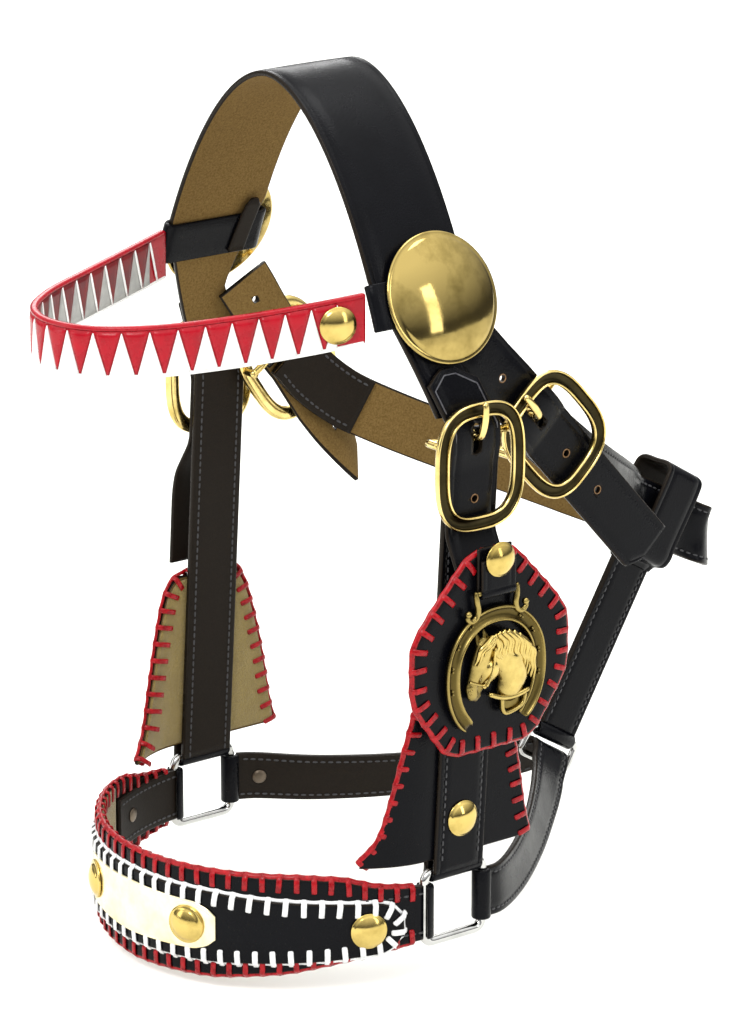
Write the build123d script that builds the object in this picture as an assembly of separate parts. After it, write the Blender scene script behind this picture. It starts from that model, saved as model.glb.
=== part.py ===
"""Decorated leather show headstall for a horse: straps, buckles, rings and brass fittings.

Millimetres. +X is the horse's left, -Y its face, +Z up. The origin is the poll seat, the middle of
the crown strap's underside, which is where the headstall hangs. Leather pieces are ribbons: a row
of rectangular sections along a path, each with its own lower and upper edge, inner and outer face.
"""
import os
from math import asin, cos, pi, radians, sin

from build123d import *

# ---- driving dimensions -------------------------------------------------------------------------
STRAP = 32.0            # width of the cheek, throat, chin and jaw straps and of the billets
BILLET = 2.6            # thickness of one layer of strap leather
DOUBLE = 3.4            # thickness of a doubled strap
LAYER_GAP = 0.1         # between leather layers that lie on each other
CROWN_THICK = 3.0
CROWN_HALF = 30.0       # half the crown strap's width at the poll

ARCH_HALF = 105.0       # half the inside width of the crown arch at its feet
ARCH_DROP = 165.0       # height of the arch, poll to where the sides hang straight
CROWN_FOOT = -160.0     # lower end of the crown's legs

RING_X = 109.7          # plane of the square rings
RING_Y = 5.3
RING_Z = -418.5         # centre of the square rings
RING_SPAN = 38.0        # square ring, wire centre to wire centre
RING_WIRE = 2.5         # wire radius
LOOP_OUT = 5.15         # outer radius of a strap fold round a ring bar
LOOP_IN = 2.85

NOSE_HALF = 110.9       # noseband plan: half ellipse, half width and depth
NOSE_DEPTH = 121.0
NOSE_Z = -424.0         # middle height of the noseband's front

BROW_Z = -107.5         # height of the browband's ends
BROW_DROP = 10.0        # how much lower its front hangs
BROW_HEIGHT = 25.0

BUCKLE_W, BUCKLE_H = 50.2, 60.2     # buckle frame, wire centre to wire centre
BUCKLE_R = 19.0                     # corner radius of that centre line
FRAME_WIRE = 2.4
BAR_R = 2.0
CHAPE_OUT, CHAPE_IN = 4.2, 2.3      # fold of the chape round the bar
BAR_LIFT = -1.8         # bar axis, measured outwards from the billet's inner face
BAR_SHIFT = 14.0        # bar above the frame's middle; the longer lower half keeps the billet down
FRAME_LIFT = 7.0        # frame centre line, measured the same way
HUMP = 2.5              # rise of the billet over the bar
HUMP_HALF = 13.0        # half the length of that rise
TONGUE_W = 4.4
SLOT_W = 6.0

CHEEK_BUCKLE = (17.0, -172.0)       # bar of the cheek buckles (y, z)
CHEEK_FACE = ARCH_HALF + CROWN_THICK + LAYER_GAP    # x of the cheek billet's inner face
# throat buckle: bar (x of the billet's inner face, y, z), slope below the horizontal, billet tail
THROAT = {"left": (94.5, 67.5, -172.7, 47.5, 118.0), "right": (92.0, 49.2, -170.0, 56.0, 92.0)}
THROAT_APEX = (273.0, -300.0)       # back of the throat strap's turn (y, z)
THROAT_KNEE = 36.0                  # buckle bar to where the throat strap changes slope

FLAP_TOP, FLAP_BOTTOM = -296.0, -392.5
MEDALLION_X = 127.5     # inner face of the medallion pad
MEDALLION_Y = 13.0
PAD_TOP = -226.0
PAD_HEIGHT = 104.0
PAD_HALF = 50.0
STUD_R = 9.7

SIDES = {"left": 1, "right": -1}
PARTS = {}


# ---- small helpers ------------------------------------------------------------------------------
def table(rows, x):
    """Straight-line interpolation in a short list of (x, value) rows, ends held."""
    rows = sorted(rows)
    if x <= rows[0][0]:
        return rows[0][1]
    for (x0, v0), (x1, v1) in zip(rows, rows[1:]):
        if x <= x1:
            return v0 + (v1 - v0) * (x - x0) / (x1 - x0)
    return rows[-1][1]


def blend(a, b, f):
    return a + (b - a) * f


def ribbon(stations, inner, outer):
    """A closed solid through stations of (point, across, out, low, high).

    across runs over the strap's width and out through its thickness; low and high are the edges'
    distances from the point along across, inner and outer the faces' distances along out.
    """
    sections = []
    for point, across, out, low, high in stations:
        corners = [(low, inner), (high, inner), (high, outer), (low, outer)]
        sections.append(Wire.make_polygon([point + across * a + out * b for a, b in corners]))
    return Solid.make_loft(sections, True)


def cylinder(a, b, radius):
    a, b = Vector(*a), Vector(*b)
    plane = Plane(origin=a, z_dir=b - a)
    return Solid.make_cylinder(radius, (b - a).length, plane)


def sided(shape, side):
    """The shape as modelled for the left side, or its mirror image for the right."""
    return shape if side == "left" else shape.mirror(Plane.YZ)


def dome(centre, out, radius, height, base=1.0):
    """Round stud head: a short rim and a spherical cap, flat back on the centre point."""
    cap_r = (radius**2 + height**2) / (2 * height)
    ball = Solid.make_sphere(cap_r, Plane(origin=(0, 0, base + height - cap_r)),
                             angle1=-90, angle2=90, angle3=360)
    rim = Solid.make_cylinder(radius, base + height, Plane.XY)
    head = rim & ball
    return Plane(origin=centre, z_dir=out).location * head


def save(name, *solids):
    solids = [s for shape in solids for s in shape.solids()]
    PARTS[name] = solids[0] if len(solids) == 1 else Compound(children=solids)


# ---- crown arch ---------------------------------------------------------------------------------
def arch_x(z):
    """Inside half width of the crown arch at height z."""
    s = min(1.0, max(0.0, -z / ARCH_DROP))
    return ARCH_HALF * (1 - (1 - s) ** 1.3) ** 0.55


def arch_z(x):
    """Height of the arch's inside at half width x."""
    v = min(1.0, abs(x) / ARCH_HALF) ** (1 / 0.55)
    return -ARCH_DROP * (1 - (1 - v) ** (1 / 1.3))


def arch_out(z):
    """Outward normal of the arch's left side at height z."""
    step = 1.0
    slope = (arch_x(z - step) - arch_x(min(0.0, z + step))) / (2 * step)
    return Vector(1, 0, slope).normalized()


def arch_path(start_z, end_z, count):
    """Points and normals down the arch's left side between two heights."""
    path = []
    for i in range(count + 1):
        z = blend(start_z, end_z, i / count)
        path.append((Vector(arch_x(z), 0, z), arch_out(z)))
    return path


CROWN_FRONT = [(-172, 0.5), (-92, -CROWN_HALF), (0, -CROWN_HALF)]
CROWN_REAR = [(-172, 33.0), (-134, 16.0), (-84, CROWN_HALF), (0, CROWN_HALF)]


def crown():
    """One strap from the left leg's foot over the poll to the right leg's foot."""
    along_y = Vector(0, 1, 0)
    half = [(Vector(0, 0, 0), Vector(0, 0, 1))]
    turns = 16
    for i in range(1, turns):
        x = ARCH_HALF * sin(pi / 2 * i / turns)
        z = arch_z(x)
        half.append((Vector(x, 0, z), arch_out(z)))
    half = [row for row in half if row[0].Z > CROWN_FOOT + 3]
    half.append((Vector(arch_x(CROWN_FOOT), 0, CROWN_FOOT), arch_out(CROWN_FOOT)))
    path = [(Vector(-p.X, 0, p.Z), Vector(-n.X, 0, n.Z)) for p, n in reversed(half[1:])] + half
    stations = [(p, along_y, n, table(CROWN_FRONT, p.Z), table(CROWN_REAR, p.Z)) for p, n in path]
    save("crown_strap", ribbon(stations, 0, CROWN_THICK))


def browband_loop(side):
    """Flat keeper all round the crown leg, inside and out, with closed ends."""
    top, bottom, wall = -92.0, -114.0, 2.2
    half = CROWN_HALF + 0.4
    path = arch_path(top, bottom, 4)
    y = Vector(0, 1, 0)

    def band(low, high, inner, outer):
        return ribbon([(p, y, n, low, high) for p, n in path], inner, outer)
    outside = band(-half - wall, half + wall, -LAYER_GAP - wall, CROWN_THICK + LAYER_GAP + wall)
    longer = arch_path(top + 1, bottom - 1, 4)
    hole = ribbon([(p, y, n, -half, half) for p, n in longer], -LAYER_GAP, CROWN_THICK + LAYER_GAP)
    save(f"browband_loop_{side}", sided(outside - hole, side))


def tuck_strap(side):
    """Narrow strap held under the loop against the crown's inside, its tip standing above it."""
    y = Vector(0, 1, 0)
    inner, outer = -LAYER_GAP - 2.2 - 0.1 - 2.0, -LAYER_GAP - 2.2 - 0.1
    rows = [(p, y, n, table([(-145, 5), (-85, 14)], p.Z), table([(-145, 15), (-85, 24)], p.Z))
            for p, n in arch_path(-82, -112, 4)]
    save(f"tuck_strap_{side}", sided(ribbon(rows, inner, outer), side))


def rosette(side):
    z = -104.0
    out = arch_out(z)
    lift = CROWN_THICK + LAYER_GAP + 2.2 + 0.2
    centre = Vector(arch_x(z), 9.0, z) + out * lift
    save(f"rosette_{side}", sided(dome(centre, out, 34.0, 8.0, 1.6), side))


# ---- browband -----------------------------------------------------------------------------------
BROW_PLAN = [(0, -162), (24, -155), (44, -133), (60, -99), (74, -62), (84, -33)]


def brow_curve():
    points = [Vector(-x, y) for x, y in reversed(BROW_PLAN[1:])] + [Vector(x, y) for x, y in BROW_PLAN]
    return Spline(*points)


def brow_stations(low, high, count=40):
    curve = brow_curve()
    stations = []
    for i in range(count + 1):
        u = i / count
        p, t = curve @ u, curve % u
        out = Vector(t.Y, -t.X, 0).normalized()
        drop = BROW_DROP * (1 - abs(2 * u - 1) ** 2)
        stations.append((Vector(p.X, p.Y, BROW_Z - drop), Vector(0, 0, 1), out, low, high))
    return stations


def browband():
    half = BROW_HEIGHT / 2
    save("browband", ribbon(brow_stations(-half, half), 0, 3.0))
    weave = ribbon(brow_stations(-half + 1.5, half - 1.5)[2:-2], 3.05, 3.8)
    save("browband_weave", weave)
    studs = []
    for u in (0.045, 0.955):
        p, t = brow_curve() @ u, brow_curve() % u
        out = Vector(t.Y, -t.X, 0).normalized()
        z = BROW_Z - BROW_DROP * (1 - abs(2 * u - 1) ** 2)
        studs.append(dome(Vector(p.X, p.Y, z) + out * 3.9, out, STUD_R, 3.2, 1.0))
    save("browband_studs", *studs)


# ---- buckles ------------------------------------------------------------------------------------
# Built with the bar's axis along Y through the origin, +X outwards and +Z up the billet.
def buckle_frame():
    lift = FRAME_LIFT - BAR_LIFT
    middle = Plane(origin=(lift, 0, -BAR_SHIFT), x_dir=(0, 1, 0), z_dir=(1, 0, 0))
    path = middle.location * RectangleRounded(BUCKLE_W, BUCKLE_H, BUCKLE_R).wire()
    start = path @ 0
    ring = sweep(Plane(origin=start, z_dir=path % 0) * Circle(FRAME_WIRE), path=path)
    half = BUCKLE_W / 2
    bar = cylinder((0, -half, 0), (0, half, 0), BAR_R)
    posts = [cylinder((-BAR_R, s * half, 0), (lift, s * half, 0), BAR_R) for s in (1, -1)]
    return ring + bar + posts[0] + posts[1]


def buckle_tongue():
    """Loop on the bar, shank out through the billet, then along to rest over the frame."""
    rest = FRAME_LIFT - BAR_LIFT + FRAME_WIRE + 0.4
    tip = BUCKLE_H / 2 - BAR_SHIFT + 3.4
    outline = Polyline((2.2, 1.0), (8.2, 2.4), (rest - 0.6, 6.5), (rest, tip - 6.0), (rest, tip),
                       (rest + 2.4, tip - 0.4), (rest + 2.8, tip - 7.0), (rest + 2.0, 5.0),
                       (9.6, -0.6), (2.2, -2.2), close=True)
    shank = extrude(Plane.XZ * make_face(outline), amount=TONGUE_W / 2, both=True)
    eye = Cylinder(BAR_R + 2.0, TONGUE_W, rotation=(90, 0, 0))
    bore = Cylinder(BAR_R + 0.05, 2 * TONGUE_W, rotation=(90, 0, 0))
    return shank + eye - bore


def place_buckle(shape, x, y, z, slope):
    """Lean the billet direction back from vertical by 90 - slope degrees, then move into place."""
    return Location((x, y, z)) * (Rotation(90 - slope, 0, 0) * shape)


def hump(t):
    """Rise of a billet over the bar at distance t from it."""
    return HUMP * cos(pi / 2 * min(1.0, abs(t) / HUMP_HALF)) ** 0.7 if abs(t) < HUMP_HALF else 0.0


def tongue_slot(face_x, y, z, slope):
    """Cutter for the billet's oblong hole over the bar."""
    box = Box(16, SLOT_W, 17)
    return place_buckle(box, face_x + 4.0, y, z, slope)


def punched(shape, face_x, y, z, slope, distances):
    """Cut the billet's round holes at these distances below (-) or above (+) the bar."""
    for t in distances:
        centre = place_buckle(Location((0, 0, t)) * Cylinder(2.0, 20, rotation=(0, 90, 0)),
                              face_x, y, z, slope)
        shape = shape - centre
    return shape


# ---- cheek pieces -------------------------------------------------------------------------------
def cheek_y(z):
    """Middle of the cheek strap at height z."""
    return table([(-400, RING_Y), (-186, 17.0), (-166, 16.2), (-137, 4.0)], z)


def cheek_billet(side):
    """Sewn on the crown's leg with a pointed tip, through the buckle, tail standing off."""
    y0, z0 = CHEEK_BUCKLE
    tail_end = -292.0
    heights = [-135.5, -143, -150]
    heights += [z0 + t for t in (18, 15, 11, 8, 5, 2.5, 0, -2.5, -5, -8, -11, -14, -17, -20, -26)]
    heights += [-210, -221, -228, -234, -240, -246, -254, -264, tail_end]
    rows = []
    for z in heights:
        x = arch_x(z) + CROWN_THICK + LAYER_GAP + table([(-172, 0.0), (-160, 0.6)], z)
        out = arch_out(z) if z > -160 else Vector(1, 0, 0)
        x += hump(z - z0)
        x += table([(-254, 14), (-246, 13), (-240, 11.5), (-231, 6.0), (-221, 0)], z)
        half = STRAP / 2
        tip = table([(-143, 1.0), (-135.5, 0.28)], z)
        rows.append((Vector(x, cheek_y(z), z), Vector(0, 1, 0), out, -half * tip, half * tip))
    solid = ribbon(rows, 0, BILLET) - tongue_slot(CHEEK_FACE, y0, z0, 90)
    solid = punched(solid, CHEEK_FACE, y0, z0, 90, (-32.0,))
    save(f"cheek_billet_{side}", sided(solid, side))


def cheek_strap(side):
    """Chape round the buckle bar, down inside the flap, round the ring and up over the flap."""
    y0, z0 = CHEEK_BUCKLE
    inner = ARCH_HALF + CROWN_THICK - DOUBLE
    bar_x = CHEEK_FACE + BAR_LIFT
    low = RING_Z + RING_SPAN / 2
    half = STRAP / 2

    def run(z_top, z_bottom, x0, x1):
        rows = [(Vector(0, cheek_y(z), z), Vector(0, 1, 0), Vector(1, 0, 0), -half, half)
                for z in (z_top, (z_top + z_bottom) / 2, z_bottom)]
        return ribbon(rows, x0, x1)

    long_side = run(z0 - CHAPE_IN - 0.4, low, inner, inner + DOUBLE)
    fold_top = cylinder((bar_x, y0 - half, z0), (bar_x, y0 + half, z0), CHAPE_OUT)
    fold_low_y = cheek_y(low)
    fold_low = cylinder((RING_X, fold_low_y - half, low), (RING_X, fold_low_y + half, low), LOOP_OUT)
    turn_up = run(-312, low, RING_X + LOOP_OUT - BILLET, RING_X + LOOP_OUT)
    solid = long_side + fold_top + fold_low + turn_up
    solid -= cylinder((bar_x, y0 - STRAP, z0), (bar_x, y0 + STRAP, z0), CHAPE_IN)
    solid -= cylinder((RING_X, -40, low), (RING_X, 60, low), LOOP_IN)
    solid -= Location((bar_x, y0, z0 - 1.5)) * Box(14, SLOT_W, 17)
    save(f"cheek_strap_{side}", sided(solid, side))
    out = Vector(1, 0, 0)
    return dome(Vector(RING_X + LOOP_OUT + LAYER_GAP, cheek_y(-372), -372), out, STUD_R, 3.6, 1.0)


def buckles():
    for side in SIDES:
        y, z = CHEEK_BUCKLE
        x = CHEEK_FACE + BAR_LIFT
        save(f"cheek_buckle_frame_{side}", sided(place_buckle(buckle_frame(), x, y, z, 90), side))
        save(f"cheek_buckle_tongue_{side}", sided(place_buckle(buckle_tongue(), x, y, z, 90), side))
        face, y, z, slope, _ = THROAT[side]
        x = face + BAR_LIFT
        save(f"throat_buckle_frame_{side}", sided(place_buckle(buckle_frame(), x, y, z, slope), side))
        save(f"throat_buckle_tongue_{side}",
             sided(place_buckle(buckle_tongue(), x, y, z, slope), side))


# ---- flaps --------------------------------------------------------------------------------------
FLAP_TOP_EDGE = [(-46, -389), (-38, -378), (-31, -354), (-24, -326), (-17, -304), (-10, FLAP_TOP),
                 (28, FLAP_TOP), (34, -304), (41, -326), (47, -354), (51, -378), (54, -389)]


def flap_x(y):
    """The flap's plan: straight over the cheek, following the noseband's curve in front of it."""
    ahead = max(0.0, -12.0 - y)
    return -0.011 * ahead**2


def flap_layer(inner, outer, inset):
    ys = [-46, -42, -38, -34, -31, -27, -24, -20, -17, -13.5, -10, 0, 9, 18, 28, 31, 34, 37, 41, 44, 47,
          51, 54]
    middle = 4.0
    rows = []
    for y in ys:
        near = blend(y, middle, inset / 50.0)
        slope = (flap_x(near + 0.5) - flap_x(near - 0.5))
        out = Vector(1, -slope, 0).normalized()
        top = table(FLAP_TOP_EDGE, y) - inset
        rows.append((Vector(RING_X + flap_x(near), near, 0), Vector(0, 0, 1), out,
                     FLAP_BOTTOM + inset, max(top, FLAP_BOTTOM + inset + 1.5)))
    return ribbon(rows, inner, outer)


def flaps(side):
    lining_in = ARCH_HALF + CROWN_THICK + LAYER_GAP - RING_X
    save(f"flap_lining_{side}", sided(flap_layer(lining_in, lining_in + 1.3, 3.0), side))
    inner = lining_in + 1.4
    save(f"cheek_flap_{side}", sided(flap_layer(inner, inner + 2.6, 0.0), side))
    edge = flap_layer(inner + 0.4, inner + 2.2, -1.6)
    save(f"flap_lacing_{side}", sided(edge - flap_layer(inner - 1, inner + 4, -0.05), side))


# ---- noseband -----------------------------------------------------------------------------------
NOSE_TOP = [(0, -395), (84, -395), (97, -397), (102, -402), (NOSE_HALF, -406)]
NOSE_LOW = [(0, -453), (50, -451), (80, -446), (97, -440), (NOSE_HALF, -434)]
NOSE_END = -13.5        # y of the fold round the ring's front bar


def nose_stations(low, high, end_y, count=40):
    """Stations round the half ellipse between y = end_y on each side.

    low and high are functions of the distance from the middle plane.
    """
    limit = asin(min(1.0, (RING_Y - end_y) / NOSE_DEPTH))
    rows = []
    for i in range(count + 1):
        a = blend(limit, pi - limit, i / count)
        x, y = NOSE_HALF * cos(a), RING_Y - NOSE_DEPTH * sin(a)
        out = Vector(cos(a) / NOSE_HALF, -sin(a) / NOSE_DEPTH, 0).normalized()
        rows.append((Vector(x, y, 0), Vector(0, 0, 1), out, low(abs(x)), high(abs(x))))
    return rows


def nose_low(inset):
    return lambda x: table(NOSE_LOW, x) + inset


def nose_high(inset):
    return lambda x: table(NOSE_TOP, x) - inset


def noseband():
    thick = 2.8
    body = ribbon(nose_stations(nose_low(0), nose_high(0), NOSE_END - 2.0), 0, thick)
    low, high = -434.0, -405.4
    bar_y = RING_Y - RING_SPAN / 2
    for sign in (1, -1):
        x = sign * RING_X
        tab = [row for row in nose_stations(lambda _: low, lambda _: high, bar_y - 1.0, 60)
               if row[0].X * sign > 90]
        body += ribbon(tab, -2.6, 0.4)
        body += cylinder((x, bar_y, low), (x, bar_y, high), LOOP_OUT)
        body -= cylinder((x, bar_y, low - 5), (x, bar_y, high + 5), LOOP_IN)
    save("noseband", body)
    full = NOSE_END - 2.0
    lining = [row for row in nose_stations(nose_low(3.0), nose_high(3.0), full) if abs(row[0].X) < 87]
    save("noseband_lining", ribbon(lining, -1.4, -0.1))
    edge = ribbon(nose_stations(nose_low(-1.6), nose_high(-1.6), full)[1:-1], 0.4, 2.4)
    core = ribbon(nose_stations(nose_low(-0.05), nose_high(-0.05), full), -1, 4)
    save("noseband_lacing", edge - core)


OVERLAY_END = -28.0
OVERLAY_HALF = [(0, 20.0), (50, 19.0), (92, 15.5), (103, 12.5), (NOSE_HALF, 6.0)]


def overlay():
    def half(x):
        return table(OVERLAY_HALF, x)
    inner, outer = 2.9, 4.9
    body = ribbon(nose_stations(lambda x: NOSE_Z - half(x), lambda x: NOSE_Z + half(x),
                                OVERLAY_END), inner, outer)
    save("noseband_overlay", body)
    edge = ribbon(nose_stations(lambda x: NOSE_Z - half(x) - 1.6, lambda x: NOSE_Z + half(x) + 1.6,
                                OVERLAY_END + 1.6), inner + 0.2, outer)
    core = ribbon(nose_stations(lambda x: NOSE_Z - half(x) - 0.05,
                                lambda x: NOSE_Z + half(x) + 0.05, OVERLAY_END), inner - 1, outer + 1)
    save("overlay_lacing", edge - core)


PLATE_END_X = 52.0
PLATE_HALF = [(0, 14.5), (42, 13.0), (49, 10.0), (PLATE_END_X, 6.0)]
PLATE_OUT = 6.1


def name_plate():
    end_y = RING_Y - NOSE_DEPTH * (1 - (PLATE_END_X / NOSE_HALF) ** 2) ** 0.5
    rows = nose_stations(lambda x: NOSE_Z - table(PLATE_HALF, x),
                         lambda x: NOSE_Z + table(PLATE_HALF, x), end_y, 28)
    save("name_plate", ribbon(rows, 5.0, PLATE_OUT))


def nose_studs():
    def stud(x, lift):
        y = RING_Y - NOSE_DEPTH * (1 - (x / NOSE_HALF) ** 2) ** 0.5
        out = Vector(x / NOSE_HALF**2, (y - RING_Y) / NOSE_DEPTH**2, 0).normalized()
        return dome(Vector(x, y, NOSE_Z) + out * lift, out, STUD_R, 3.4, 1.0)
    save("plate_studs", stud(38.0, PLATE_OUT + 0.3), stud(-38.0, PLATE_OUT + 0.3))
    save("overlay_end_studs", stud(101.0, 5.3), stud(-101.0, 5.3))
    rivets = []
    for sign in (1, -1):
        x = sign * 97.0
        y = RING_Y - NOSE_DEPTH * (1 - (x / NOSE_HALF) ** 2) ** 0.5
        out = Vector(-x / NOSE_HALF**2, (RING_Y - y) / NOSE_DEPTH**2, 0).normalized()
        rivets.append(dome(Vector(x, y, -419) + out * 2.9, out, 4.0, 1.0, 0.3))
    save("noseband_rivets", *rivets)


# ---- rings --------------------------------------------------------------------------------------
def square_ring(side):
    path = Plane(origin=(RING_X, RING_Y, RING_Z), x_dir=(0, 1, 0), z_dir=(1, 0, 0)).location * \
        RectangleRounded(RING_SPAN, RING_SPAN, 4.0).wire()
    ring = sweep(Plane(origin=path @ 0, z_dir=path % 0) * Circle(RING_WIRE), path=path)
    save(f"square_ring_{side}", sided(ring, side))


LINK_LEAN = 31.0        # slope of the lead ring's long sides below the horizontal
LINK_W, LINK_H = 37.5, 16.0
LINK_WIRE = 2.0
LINK_SLACK = 4.3        # between the chin strap and the lead ring's lower bar
LINK_CENTRE = (162.0, -401.0)
JAW_THICK = 4.0


def lead_ring():
    y, z = LINK_CENTRE
    c, s = cos(radians(LINK_LEAN)), sin(radians(LINK_LEAN))
    plane = Plane(origin=(0, y, z), x_dir=(0, c, -s), z_dir=(1, 0, 0))
    path = plane.location * RectangleRounded(LINK_W, LINK_H, 3.5).wire()
    save("lead_ring", sweep(Plane(origin=path @ 0, z_dir=path % 0) * Circle(LINK_WIRE), path=path))


# ---- jaw, chin and throat straps ----------------------------------------------------------------
def jaw_strap():
    """Flat in the middle plane: folded round the ring below, looped round the throat strap above."""
    y, z = LINK_CENTRE
    c, s = cos(radians(LINK_LEAN)), sin(radians(LINK_LEAN))
    across, up, out = Vector(0, c, -s), Vector(0, s, c), Vector(1, 0, 0)
    half = STRAP / 2 - 2.0
    bar = Vector(0, y, z) + up * (LINK_H / 2)

    def band(start, end, x0, x1, reach_out=0.0):
        edge = half + reach_out
        return ribbon([(bar + up * start, across, out, -edge, edge),
                       (bar + up * end, across, out, -edge, edge)], x0, x1)
    reach, loop_start, loop_half = 163.0, 111.5, 15.0
    solid = band(1.0, loop_start, -JAW_THICK / 2, JAW_THICK / 2)
    ends = (bar - across * half, bar + across * half)
    solid += cylinder(ends[0], ends[1], 4.4)
    inside = loop_half - BILLET
    outside = band(loop_start - BILLET, reach, -loop_half, loop_half)
    solid += outside - band(loop_start, reach - BILLET, -inside, inside, 1.0)
    solid -= cylinder(bar - across * STRAP, bar + across * STRAP, LINK_WIRE + 0.35)
    save("jaw_strap", solid)


def chin_strap():
    """From ring to ring under the jaw, resting in the lead ring; it turns flat there."""
    bar_y = RING_Y + RING_SPAN / 2
    c, s = cos(radians(LINK_LEAN)), sin(radians(LINK_LEAN))
    link = Vector(0, *LINK_CENTRE)
    low = link + Vector(0, -s, -c) * (LINK_H / 2 - LINK_WIRE - DOUBLE / 2 - LINK_SLACK)
    half = STRAP / 2 - 2.4
    side_points = [(RING_X, bar_y + 3.5, -419.0), (RING_X - 3, bar_y + 14, -420.0), (88, 66, -422.0),
                   (60, 101, -420.0), (34, 130, -414.0), (14, 150, -408.0)]
    centre = [Vector(*p) for p in side_points] + [low]
    path = centre + [Vector(-p.X, p.Y, p.Z) for p in reversed(centre[:-1])]
    curve = Spline(*path)
    count = 44
    rows = []
    for i in range(count + 1):
        u = i / count
        p, t = curve @ u, curve % u
        f = (1 - abs(2 * u - 1)) ** 1.4
        want = Vector(0, -c * f, (1 - f) + s * f)
        out = t.cross(want).normalized()
        across = out.cross(t).normalized()
        rows.append((p, across, out, -half, half))
    solid = ribbon(rows, -DOUBLE / 2, DOUBLE / 2)
    for sign in (1, -1):
        x = sign * RING_X
        fold = cylinder((x, bar_y, -419 - half), (x, bar_y, -419 + half), LOOP_OUT)
        solid = solid + fold - cylinder((x, bar_y, -450), (x, bar_y, -390), LOOP_IN)
    save("chin_strap", solid)
    rivets = []
    for point, _, out, _, _ in (rows[4], rows[-5]):
        rivets.append(dome(point - out * (DOUBLE / 2 + 0.3), -out, 4.0, 1.0, 0.3))
    save("chin_strap_rivets", *rivets)


def throat_plan(side):
    """Centre line of the throat strap from the buckle bar to its turn, left side positive."""
    face, y, z, slope, _ = THROAT[side]
    x = face - LAYER_GAP - DOUBLE / 2
    bar = Vector(0, y, z)
    knee = bar + Vector(0, cos(radians(slope)), -sin(radians(slope))) * THROAT_KNEE
    apex = Vector(0, *THROAT_APEX)
    ahead = knee + (apex - knee).normalized() * (THROAT_KNEE + 8)
    points = []
    for px, f in ((x, 0.09), (x - 0.5, 0.34), (x - 3.5, 0.66), (x - 13.0, 1.0)):
        p = blend(blend(bar, knee, f), blend(knee, ahead, f), f)
        points.append((px, p.Y, p.Z))
    for px, py in ((54, 170), (27, 200), (9.5, 217), (6.4, 226), (6.2, 240), (8.0, 252)):
        points.append((px, py, blend(knee.Z, apex.Z, (py - knee.Y) / (apex.Y - knee.Y))))
    return points


def throat_strap():
    left = [Vector(*p) for p in throat_plan("left")]
    right = [Vector(-x, y, z) for x, y, z in throat_plan("right")]
    turn = [Vector(11.0, 263, -294.0), Vector(0, *THROAT_APEX), Vector(-11.0, 263, -294.0)]
    curve = Spline(*(left + turn + list(reversed(right))))
    half = STRAP / 2
    rows = []
    count = 90
    for i in range(count + 1):
        u = i / count
        p, t = curve @ u, curve % u
        side = "left" if u < 0.5 else "right"
        f = min(1.0, min(u, 1 - u) / 0.16)
        lean_deg = blend(THROAT[side][3], 33.0, f)
        want = Vector(0, sin(radians(lean_deg)), cos(radians(lean_deg)))
        out = t.cross(want).normalized()
        across = out.cross(t).normalized()
        rows.append((p, across, out, -half, half))
    solid = ribbon(rows, -DOUBLE / 2, DOUBLE / 2)
    for side, sign in SIDES.items():
        face, y, z, slope, _ = THROAT[side]
        x = face + BAR_LIFT
        across = Vector(0, sin(radians(slope)), cos(radians(slope)))
        centre = Vector(sign * x, y, z)
        fold = cylinder(centre - across * half, centre + across * half, CHAPE_OUT)
        down = Vector(0, cos(radians(slope)), -sin(radians(slope)))
        root = ribbon([(centre + down * 2.6, across, Vector(sign, 0, 0), -half, half),
                       (centre + down * 8.0, across, Vector(sign, 0, 0), -half, half)],
                      -DOUBLE / 2, DOUBLE / 2)
        solid = solid + fold + root
        solid -= cylinder(centre - across * STRAP, centre + across * STRAP, CHAPE_IN)
        slot = place_buckle(Location((0, 0, -1.5)) * Box(14, SLOT_W, 17), x, y, z, slope)
        solid -= sided(slot, side)
    save("throat_strap", solid)


def throat_billet(side):
    """From under the crown's rear edge, through the throat buckle, to a free tail."""
    face, y0, z0, slope, tail = THROAT[side]
    down = (cos(radians(slope)), -sin(radians(slope)))
    start = -60 if side == "left" else -46
    lengths = [-60, -53, -48, -46, -42, -36, -30, -25, -20, -16, -12, -9, -6, -3, 0, 3, 6, 9, 12, 16,
               20, 24, 30, 44, 52, 60, 68, 76, 84, tail - 6, tail]
    lengths = [t for t in lengths if t >= start]
    rows = []
    half = STRAP / 2
    for t in lengths:
        y, z = y0 + down[0] * t, z0 + down[1] * t
        f = min(1.0, max(0.0, (-t - 14.0) / 28.0))
        under = arch_x(z) - BILLET - 0.9
        x = blend(face, min(under, face), f) + hump(t)
        out = (Vector(1, 0, 0) * (1 - f) + arch_out(z) * f).normalized()
        across = Vector(0, -down[1], down[0])
        across = (across - out * across.dot(out)).normalized()
        if side == "right":
            along = Axis((0, 0, 0), (0, *down))
            turn = table([(44, 0), (60, 14), (tail, 48)], t)
            across, out = across.rotate(along, turn), out.rotate(along, turn)
        cut = 9.0 if t == tail and side == "left" else 0.0
        rows.append((Vector(x, y, z), across, out, cut - half, half))
    solid = ribbon(rows, 0, BILLET) - tongue_slot(face, y0, z0, slope)
    solid = punched(solid, face, y0, z0, slope, (32.0, -32.0, -64.0))
    save(f"throat_billet_{side}", sided(solid, side))


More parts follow.
